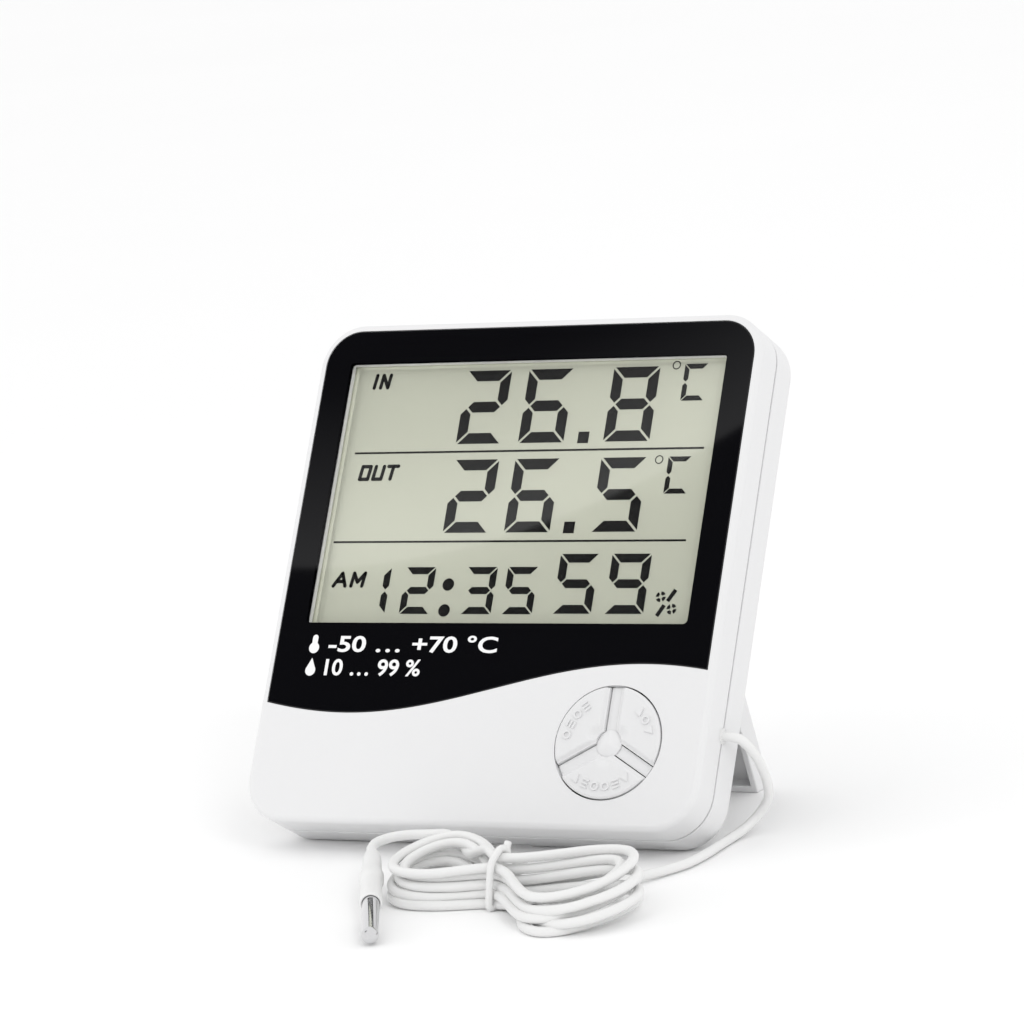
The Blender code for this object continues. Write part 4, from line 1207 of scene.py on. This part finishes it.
def make_rear_keys():
    inner = CASE_D - REAR_WALL - GAP
    for name, x in REAR_KEY_XS.items():
        profile = [(1.0, 11.5), (1.0, inner - 0.8), (2.2, inner - 0.8), (2.2, inner), (REAR_KEY_R, inner),
                   *arc(0, CASE_D - 0.05, REAR_KEY_R, 0, 80, 8, 0.25)]
        key = turned(f"{name}_key_moulded", profile, (x, 0, REAR_KEY_Z), count=40)
        finish_piece(key, f"{name}_key", "white_keys", WHITE_KEYS, f"{name}_button")


STAND = (CASE @ Matrix.Translation((0, HINGE_Y, HINGE_Z))
         @ Matrix.Rotation(STAND_TILT + LEAN, 4, "X"))
STAND_EDGE = 0.35
RIB_XS, RIB_HALF, RIB_HIGH = (-18.0, 0.0, 18.0), 0.5, 1.6


def make_stand():
    """A tray with a rim all round, ribbed inside, whose foot is level with the floor when open."""
    axis_height = (CASE @ Vector((0, HINGE_Y, HINGE_Z))).z / MM

    def floor_reach(out):
        return (axis_height + out * sin(STAND_TILT)) / cos(STAND_TILT)

    def across(name, side_view, low, high):
        """The side view, drawn out from low to high along the hinge."""
        return mesh_from(name, *skin([[(x, y, z) for y, z in side_view] for x in (low, high)]), STAND)

    inner, outer = -HINGE_R, HINGE_R
    side_view = arc(0, 0, HINGE_R, 0, 180, 18) + [(y, -floor_reach(y)) for y in (inner, outer)]
    tray = across("stand_moulded", side_view, -STAND_HALF_W, STAND_HALF_W)
    back = outer - STAND_T
    low = -floor_reach(back) + STAND_T + 0.2
    slope = tan(STAND_TILT) * (back - (inner - 1))
    pocket = [(back, -HINGE_R - 1.0), (inner - 1, -HINGE_R - 1.0), (inner - 1, low + slope), (back, low)]
    carve(tray, across("pocket", pocket, STAND_T - STAND_HALF_W, STAND_HALF_W - STAND_T))
    rib = [(back + 0.1, -HINGE_R - 0.9), (back - RIB_HIGH, -HINGE_R - 0.9), (back - RIB_HIGH, low + 0.2),
           (back + 0.1, low - 0.1)]
    carve(tray, *[across("rib", rib, x - RIB_HALF, x + RIB_HALF) for x in RIB_XS], operation="UNION")
    soften(tray, STAND_EDGE, 3)
    reach = STAND_HALF_W + STUB_L
    ends = [(STUB_R - 0.3, -reach), (STUB_R, -reach + 0.3), (STUB_R, reach - 0.3), (STUB_R - 0.3, reach)]
    join(tray, turned("stubs", ends, axis="X", count=32, matrix=STAND))
    finish_piece(tray, "stand", "white_shell", WHITE_SHELL, "stand")


make_rear_cover()
make_door()
make_screws()
make_rear_keys()
make_stand()


# ---- carried-over nodes

CARRIED = {
    LCD_GLASS: ["lcd_panel"], GREY_PLASTIC: ["lcd_holder"], RUBBER: ["contact_strip"], BOARD: ["main_board"],
    BLACK_PART: ["controller_chip", "buzzer", "mode_switch", "adjust_switch", "memory_switch",
                 "reset_switch", "unit_switch"],
    STEEL: ["clock_crystal", "negative_contact", "positive_contact", "board_screw_1", "board_screw_2"],
    WHITE_PART: ["humidity_sensor", "probe_socket"], BEAD: ["room_thermistor", "probe_thermistor"],
    BATTERY_LOOK: ["battery"], BRASS: ["battery_spring"], CORD_WHITE: ["cable_grommet"]}
for look, nodes in CARRIED.items():
    for node in nodes:
        slots = frame["nodes"][node].data.materials
        slots.clear()
        slots.append(look)


# ---- reflection card

CARD_AWAY = 700.0                            # along the mirrored view, so that it is out of sight
CARD_HALF_W, CARD_UP, CARD_DOWN = 75.0, 75.0, 30.0
GLOW, GLOW_FADE = 0.52, 40.0


def glare_edge(x):
    """Height on the lens of the light patch's lower edge."""
    return 59.4 + 0.30 * x + 0.0033 * x * x


def make_card():
    """What the lens mirrors towards the camera: a black flag with a softly lit upper part."""
    face = -(CASE.to_3x3() @ Vector((0, 1, 0))).normalized()
    origin = CASE @ Vector((0, 0, 0))
    eye = camera.matrix_world.translation
    mirrored = eye - 2 * (eye - origin).dot(face) * face
    columns, rows = 24, 16
    vertices, glows, faces = [], [], []
    for upper in (False, True):
        start = len(vertices)
        for row in range(rows + 1):
            for column in range(columns + 1):
                x = CARD_HALF_W * (2 * column / columns - 1)
                edge = glare_edge(x)
                z = edge + (CARD_UP * row / rows if upper else (edge + CARD_DOWN) * (row / rows - 1))
                spot = CASE @ Vector((x, 0, z))
                vertices.append(tuple((spot + (spot - mirrored).normalized() * CARD_AWAY * MM) / MM))
                glows.append(GLOW * max(0.0, 1 - (z - edge) / GLOW_FADE) ** 1.2 if upper else 0.0)
        faces += grid_faces(rows, columns, start)
    card = mesh_from("reflection_card", vertices, faces)
    glow = card.data.attributes.new("glow", "FLOAT", "POINT")
    glow.data.foreach_set("value", glows)
    made, tree, shader = shader_of("card")
    tree.nodes.remove(shader)
    source = tree.nodes.new("ShaderNodeAttribute")
    source.attribute_name = "glow"
    light = new_node(tree, "Emission", Strength=source.outputs["Fac"])
    feed(tree, tree.nodes["Material Output"], Surface=light.outputs[0])
    card.data.materials.append(made)
    card.visible_camera = card.visible_diffuse = card.visible_shadow = False
    card.visible_transmission = card.visible_volume_scatter = False


make_card()
